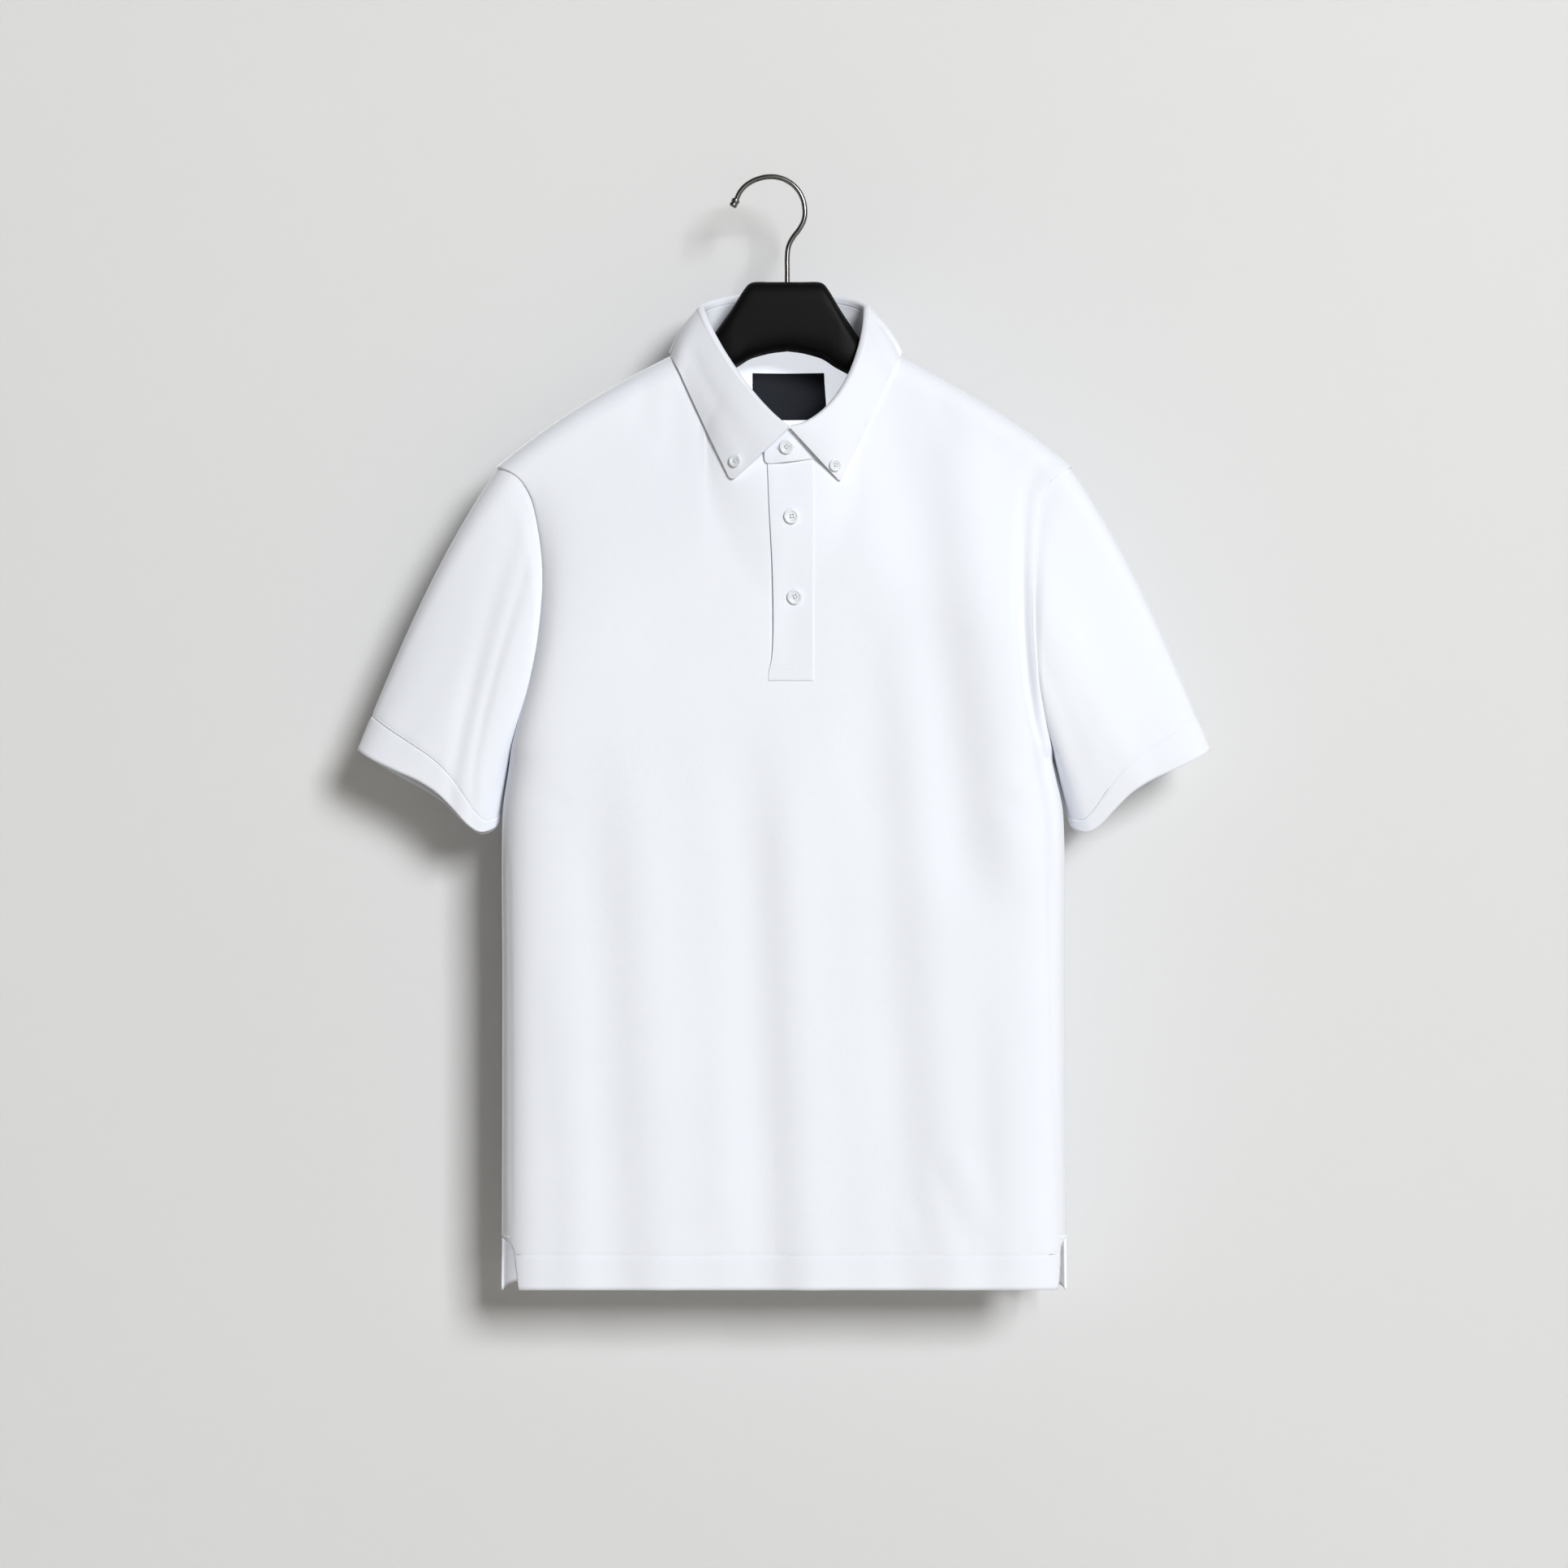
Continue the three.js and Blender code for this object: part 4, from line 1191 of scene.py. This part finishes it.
def labelStitches():
    half = label["width"] / 2 - label["edge"]
    low = label["top"] - label["height"] + label["edge"]
    runs = [
        ("Top", (-half, half), (label["top"] - 2.4, label["top"] - 2.4)),
        ("Fold", (-half, half), (label["top"] - label["foldLine"], label["top"] - label["foldLine"])),
        ("Foot", (-half, half), (low, low)),
        ("Left", (-half, -half), (label["top"] - label["edge"], low)),
        ("Right", (half, half), (label["top"] - label["edge"], low)),
    ]
    rows = []
    for name, (fromX, toX), (fromLevel, toLevel) in runs:
        x = label["centre"] + np.linspace(fromX, toX, 60)
        path = pathOn(labelPoint, x, np.linspace(fromLevel, toLevel, 60), (0, -1, 0), 0.05)
        rows.append(stitchRow(f"labelStitches{name}", path, navyThread, label["cloth"] / 2, 2.2, 0.16))
    return rows


labelTape = makeLabel()
threads += labelStitches()
print("label made")


# Buttons: a raised rim, a dished middle with four holes, and crossed thread

buttonShape = {"height": 2.0, "rim": 0.34, "dish": 0.6, "hole": 0.12, "holeOut": 0.23, "soften": 0.45}
buttonholes = {"placket": (13.4, 2.2, 0.42), "stand": (12.6, 2, 0.42), "point": (11, 2, 0.42)}
placketButtons = table(
    "node x level radius",
    ("button_placket_upper", 5.4, -254.4, 5.6),
    ("button_placket_lower", 7.8, -313.2, 5.6),
)
standButton = {"node": "button_stand", "radius": 5.2, "around": 0.998, "up": 0.46}
pointButtons = table(
    "node around way radius",
    ("button_collar_left", -0.896, 0.856, 4.5),
    ("button_collar_right", 0.924, 0.844, 4.5),
)


def selectOnly(piece):
    for other in list(bpy.context.selected_objects):
        other.select_set(False)
    piece.select_set(True)
    bpy.context.view_layer.objects.active = piece


def startCylinder(name, radius, height, vertices):
    # a cylinder that stands on the origin, in edit mode with its upper face picked
    bpy.ops.mesh.primitive_cylinder_add(
        vertices=vertices, radius=radius * mm, depth=height * mm, location=(0, 0, height / 2 * mm)
    )
    bpy.ops.object.transform_apply(location=True, rotation=False, scale=False)
    piece = bpy.context.object
    piece.name = piece.data.name = name
    bpy.context.tool_settings.mesh_select_mode = (False, False, True)
    for part in (*piece.data.edges, *piece.data.vertices):
        part.select = False
    for face in piece.data.polygons:
        face.select = face.normal.z > 0.9
    bpy.ops.object.mode_set(mode="EDIT")
    return piece


def wear(piece, material):
    piece.data.materials.clear()
    piece.data.materials.append(material)


def softenEdges(piece, width):
    bevel = piece.modifiers.new("soften", "BEVEL")
    bevel.width = width * mm
    bevel.segments = 3
    bevel.limit_method = "ANGLE"
    bpy.ops.object.modifier_apply(modifier=bevel.name)


def makeButton(name, radius):
    height = buttonShape["height"]
    piece = startCylinder(name, radius, height, 48)
    # the face's rim, then the dish inside it
    bpy.ops.mesh.inset(thickness=radius * buttonShape["rim"] * mm)
    bpy.ops.mesh.inset(thickness=radius * 0.08 * mm)
    bpy.ops.transform.translate(value=(0, 0, -buttonShape["dish"] * mm))
    bpy.ops.mesh.inset(thickness=radius * 0.1 * mm)
    bpy.ops.object.mode_set(mode="OBJECT")
    softenEdges(piece, buttonShape["soften"])
    for hole in range(4):
        angle = math.pi / 4 + hole * math.pi / 2
        out = radius * buttonShape["holeOut"] * mm
        place = (out * math.cos(angle), out * math.sin(angle), height / 2 * mm)
        bpy.ops.mesh.primitive_cylinder_add(
            vertices=16, radius=radius * buttonShape["hole"] * mm, depth=height * 2 * mm, location=place
        )
        drill = bpy.context.object
        cut = piece.modifiers.new("hole", "BOOLEAN")
        cut.object = drill
        cut.operation = "DIFFERENCE"
        bpy.context.view_layer.objects.active = piece
        bpy.ops.object.modifier_apply(modifier=cut.name)
        bpy.data.objects.remove(drill)
    selectOnly(piece)
    bpy.ops.object.shade_smooth_by_angle(angle=math.radians(35))
    wear(piece, buttonPlastic)
    return piece


def sewOn(piece, node, radius, point, normal, tilt):
    # moves a button onto the cloth and sews it through its holes
    normal = Vector(normal)
    turn = normal.to_track_quat("Z", "Y").to_matrix().to_4x4() @ Matrix.Rotation(tilt, 4, "Z")
    place = Vector(point) * mm + Vector((shirt["centre"] * mm, 0, 0))
    world = Matrix.Translation(place) @ turn
    piece.data.transform(world)
    piece.data.update()
    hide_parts(node)
    out = radius * buttonShape["holeOut"]
    floor = buttonShape["height"] - buttonShape["dish"]
    turned = np.array(turn.to_3x3())
    starts, ends = [], []
    for angle in (math.pi / 4, 3 * math.pi / 4):
        along = np.array([math.cos(angle), math.sin(angle), 0])
        aside = np.array([-math.sin(angle), math.cos(angle), 0])
        for shift in (-0.17, 0.17):
            middle = aside * shift + np.array([0, 0, floor + 0.1])
            starts.append(turned @ (middle - along * out) + point)
            ends.append(turned @ (middle + along * out) + point)
    return barsBetween(piece.name + "Thread", starts, ends, np.array(normal), 0.2, whiteThread)


def addButtons():
    made, sewn, spots = [], [], []
    forward = (0, -1, 0)
    for row in placketButtons:
        spot = pathOn(lambda x, z: stripPoint(x, z, -1), row["x"], row["level"], forward, 0.5)
        spots.append((row, spot, shirt["cloth"], (0, 0, 1), buttonholes["placket"]))
    spot = pathOn(standPoint, standButton["around"], standButton["up"], forward)
    spots.append((standButton, spot, collar["standCloth"], (0.99, 0, 0.14), buttonholes["stand"]))
    for row in pointButtons:
        spot = pathOn(leafPoint, row["around"], row["way"], forward)
        lean = (0.34, 0, 0.94) if row["around"] < 0 else (-0.34, 0, 0.94)
        spots.append((row, spot, collar["cloth"], lean, buttonholes["point"]))
    for order, (row, (point, normal), cloth, lean, size) in enumerate(spots):
        point = point + normal * (cloth / 2 + 0.25)
        along = np.array(lean) - np.dot(lean, normal) * normal
        along = along / np.linalg.norm(along)
        name = row["node"].replace("_", " ").title().replace(" ", "")
        name = name[0].lower() + name[1:]
        piece = makeButton(name, row["radius"])
        made.append(piece)
        sewn.append(sewOn(piece, row["node"], row["radius"], point, normal, 0.35 * order + 0.1))
        under = point - normal * 0.2 - along * 0.4
        sewn.append(buttonhole(name + "Hole", under, along, normal, size, whiteThread))
    return made, sewn


buttons, sewn = addButtons()
threads += sewn
print("buttons sewn on")


# Hook and hanger

hanger = {
    "centre": 2.4,
    "centreFade": 90,
    "armEnd": 203,
    "armHeight": 31,
    "armDepth": 14,
    "underCloth": 3.6,
    "endDrop": 2.6,
    "endRound": 9,
    "neckEnd": 58,
}
hangerNeck = table(
    "out top base depth squareness",
    (0, -77.4, -127.6, 17, 4.5),
    (12, -77.4, -129.2, 17, 4.5),
    (23.5, -77.4, -132.2, 17, 4.5),
    (28, -79, -134, 17, 4.5),
    (31.5, -83.2, -136.2, 17, 4.5),
    (36, -90.4, -139.2, 17, 4.5),
    (41, -98.4, -142, 17, 4),
    (47, -107.2, -145.2, 16.5, 3.4),
    (53, -115.6, -149, 15.5, 2.7),
    (58, -122.6, -152, 14, 2.2),
)


def makeHanger():
    # one bar through rounded sections, from the left arm's end to the right one's
    rounded = hanger["armEnd"] - hanger["endRound"]
    ends = rounded + hanger["endRound"] * np.sin(np.linspace(0, math.pi / 2, 12))[1:-1]
    half = np.concatenate([np.linspace(0, 60, 90), np.linspace(60, rounded, 50)[1:], ends])
    out = np.concatenate([-half[::-1], half[1:]])
    x = out + hanger["centre"] * np.clip(1 - np.abs(out) / hanger["centreFade"], 0, 1)
    arm = ease((np.abs(out) - hanger["neckEnd"]) / 9)
    columns = ("top", "base", "depth", "squareness")
    row = {name: readTable(hangerNeck, "out", name, np.abs(out)) for name in columns}
    armTop = shoulderLevel(x) - hanger["underCloth"] - hanger["endDrop"] * ease((np.abs(out) - 140) / 40)
    top = mix(row["top"], armTop, arm)
    base = mix(row["base"], armTop - hanger["armHeight"], arm)
    pastRound = np.clip((np.abs(out) - rounded) / hanger["endRound"], 0, 1)
    size = np.sqrt(1 - pastRound**2)
    angles = (np.arange(72) + 0.5) * math.pi / 36
    power = 2 / row["squareness"][:, None]
    across = np.sign(np.cos(angles)) * np.abs(np.cos(angles)) ** power
    up = np.sign(np.sin(angles)) * np.abs(np.sin(angles)) ** power
    y = mix(row["depth"], hanger["armDepth"], arm)[:, None] * size[:, None] * across
    z = ((top + base) / 2)[:, None] + ((top - base) / 2 * size)[:, None] * up
    rings = np.stack([np.broadcast_to(x[:, None], y.shape), y, z], axis=-1)
    faces = tubeFaces(0, *rings.shape[:2])
    return addMesh("hangerBar", rings.reshape(-1, 3) + [shirt["centre"], 0, 0], faces, hangerPlastic)


hook = {"wire": 1.95, "bowl": 25, "flare": 0.09, "tipRadius": 3.1}
hookStem = [(24.6, -29.5), (21.4, -36.5), (16.4, -43.2), (13, -50), (12, -58), (12, -68), (12, -82)]


def hookPoints():
    centre = -hook["bowl"] + hook["wire"]
    points = []
    for step in range(10):
        degrees = mix(164, 6, step / 9)
        reach = hook["bowl"] * (1 + hook["flare"] * float(ease((degrees - 96) / 70)))
        angle = math.radians(degrees)
        points.append((reach * math.cos(angle), centre + reach * math.sin(angle)))
    return points + hookStem


def makeHook():
    data = bpy.data.curves.new("hookWire", "CURVE")
    data.dimensions = "3D"
    data.bevel_depth = hook["wire"] * mm
    data.bevel_resolution = 6
    data.resolution_u = 10
    data.use_fill_caps = True
    spline = data.splines.new("BEZIER")
    points = hookPoints()
    spline.bezier_points.add(len(points) - 1)
    for place, (x, level) in zip(spline.bezier_points, points):
        place.co = (x * mm, 0, level * mm)
        place.handle_left_type = place.handle_right_type = "AUTO"
    selectOnly(addObject("hookWire", data))
    bpy.ops.object.convert(target="MESH")
    piece = bpy.context.object
    wear(piece, wireSteel)
    piece.data.shade_smooth()
    return piece


def makeHookTip():
    # a ferrule of two rings with a domed end, pushed onto the wire
    (x0, z0), (x1, z1) = hookPoints()[:2]
    out = Vector((x0 - x1, 0, z0 - z1)).normalized()
    radius = hook["tipRadius"]
    piece = startCylinder("hookFerrule", radius, 2.6, 40)
    for grow, rise in ((-0.6, 0), (0, 0.9), (0.55, 0), (0, 1.9), (-0.9, 0.7)):
        bpy.ops.mesh.extrude_region_move(TRANSFORM_OT_translate={"value": (0, 0, rise * mm)})
        size = 1 + grow / radius
        bpy.ops.transform.resize(value=(size, size, 1), center_override=(0, 0, 0))
    bpy.ops.mesh.select_all(action="SELECT")
    bpy.ops.mesh.normals_make_consistent(inside=False)
    bpy.ops.object.mode_set(mode="OBJECT")
    softenEdges(piece, 0.45)
    bpy.ops.object.shade_smooth_by_angle(angle=math.radians(40))
    turn = out.to_track_quat("Z", "Y").to_matrix().to_4x4()
    piece.data.transform(Matrix.Translation(Vector((x0 * mm, 0, z0 * mm)) - out * 0.4 * mm) @ turn)
    wear(piece, wireSteel)
    return piece


hookWire = makeHook()
hookFerrule = makeHookTip()
hangerBar = makeHanger()
print("hook and hanger finished")


# Each piece hangs from the root, in place of the CAD part it stands for, which is hidden

cloths = [
    (frontCloth, "front", "fabric", (0.45, 0.73), 0.29),
    (backCloth, "back", "fabric", (0.45, 0.74), 0.3),
    (sleeves["left"], "sleeve_left", "fabric", (0.42, 0.2), 0.056),
    (sleeves["right"], "sleeve_right", "fabric", (0.42, 0.2), 0.056),
    (standCloth, "collar_stand", "fabric", (0.42, 0.03), 0.0115),
    (leafCloth, "collar_fall", "fabric", (0.46, 0.07), 0.026),
    (topStrip, "placket_top", "fabric", (0.034, 0.165), 0.0056),
    (underStrip, "placket_under", "fabric", (0.03, 0.16), 0.0048),
    (labelTape, "label", "label_cloth", (0.054, 0.035), 0.00185),
]
for piece, node, slotName, flat, area in cloths:
    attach(piece, "root")
    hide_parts(node)
for piece in threads:
    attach(piece, "root")
for piece in buttons:
    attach(piece, "root")
for piece, node, slotName in (
    (hangerBar, "hanger", "hanger_plastic"),
    (hookWire, "hook", "hook_steel"),
    (hookFerrule, "hook_tip", "hook_steel"),
):
    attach(piece, "root")
    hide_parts(node)


# Wall, floor and light

stage = {
    "wallBehind": 70,
    "wallSize": 6,
    "wall": (225, 226, 227),
    "floorLevel": -1120,
    "floorSize": 30,
    "floor": (212, 207, 198),
}
# Without bounces, the back's and the neck's lights stay off the wall
lights = table(
    "name at size power colour bounces",
    ("windowKey", (3.8, -9.1, 2.8), 2.9, 912, (0.985, 0.99, 1), 12),
    ("backFill", (-0.6, 4.0, 0.9), 2.5, 150, (1, 1, 1), 0),
    ("neckGlow", (0.01, -1.5, 0.1), 0.4, 18, (1, 1, 1), 0),
)
room = {"colour": (1, 0.9, 0.74), "strength": 0.075}


def stageMaterial(name, colour):
    material, place, shader = newMaterial(name)
    mottle = place.noise(3.0, 3.0)
    low = tuple(c * 0.985 for c in linear(*colour))
    fixed = {"Roughness": 0.9, "Specular IOR Level": 0.1}
    dress(shader, {"Base Color": mottle.between(low, linear(*colour))}, fixed)
    # seen from behind, the wall lets the back of the shirt show
    behind = place.node("ShaderNodeNewGeometry", output=6)
    clear = place.node("ShaderNodeBsdfTransparent")
    paint = Wire(place.tree, shader.outputs[0])
    both = place.node("ShaderNodeMixShader", inputs={0: behind, 1: paint, 2: clear})
    output = next(node for node in place.tree.nodes if node.type == "OUTPUT_MATERIAL")
    place.tree.links.new(both.socket, output.inputs["Surface"])
    return material


def stagePlane(name, size, place, tilt, colour):
    bpy.ops.mesh.primitive_plane_add(size=size, location=place, rotation=(tilt, 0, 0))
    plane = bpy.context.object
    bpy.ops.object.transform_apply(location=True, rotation=True, scale=True)
    plane.name = name
    plane.data.materials.append(stageMaterial(name + "Paint", colour))
    return plane


def makeStage():
    ground = stage["floorLevel"] * mm
    floor = stagePlane("paleFloor", stage["floorSize"], (0, 0, ground), 0, stage["floor"])
    behind = (0, stage["wallBehind"] * mm, ground + stage["wallSize"] / 2)
    wall = stagePlane("paleWall", stage["wallSize"], behind, math.pi / 2, stage["wall"])
    wall.visible_shadow = False


def makeLights():
    aim = Vector((camera["x"] * mm, 0, camera["level"] * mm))
    for light in lights:
        data = bpy.data.lights.new(light["name"], "AREA")
        data.size = light["size"]
        data.energy = light["power"]
        data.color = light["colour"]
        data.cycles.max_bounces = light["bounces"]
        lamp = addObject(light["name"], data)
        lamp.location = light["at"]
        lamp.rotation_euler = (aim - Vector(light["at"])).to_track_quat("-Z", "Y").to_euler()
        if light["name"] == "neckGlow":
            # light that the room throws into the neck, past the hanger
            data.use_shadow = False
            lit = bpy.data.collections.new("neckInside")
            lit.objects.link(backCloth)
            lamp.light_linking.receiver_collection = lit
            lamp.light_linking.blocker_collection = lit
    world = bpy.data.worlds.new("softRoom")
    world.use_nodes = True
    background = world.node_tree.nodes["Background"]
    background.inputs["Color"].default_value = (*room["colour"], 1)
    background.inputs["Strength"].default_value = room["strength"]
    bpy.context.scene.world = world
    bpy.context.scene.view_settings.view_transform = "Standard"


makeStage()
makeLights()
print("stage and lights made")
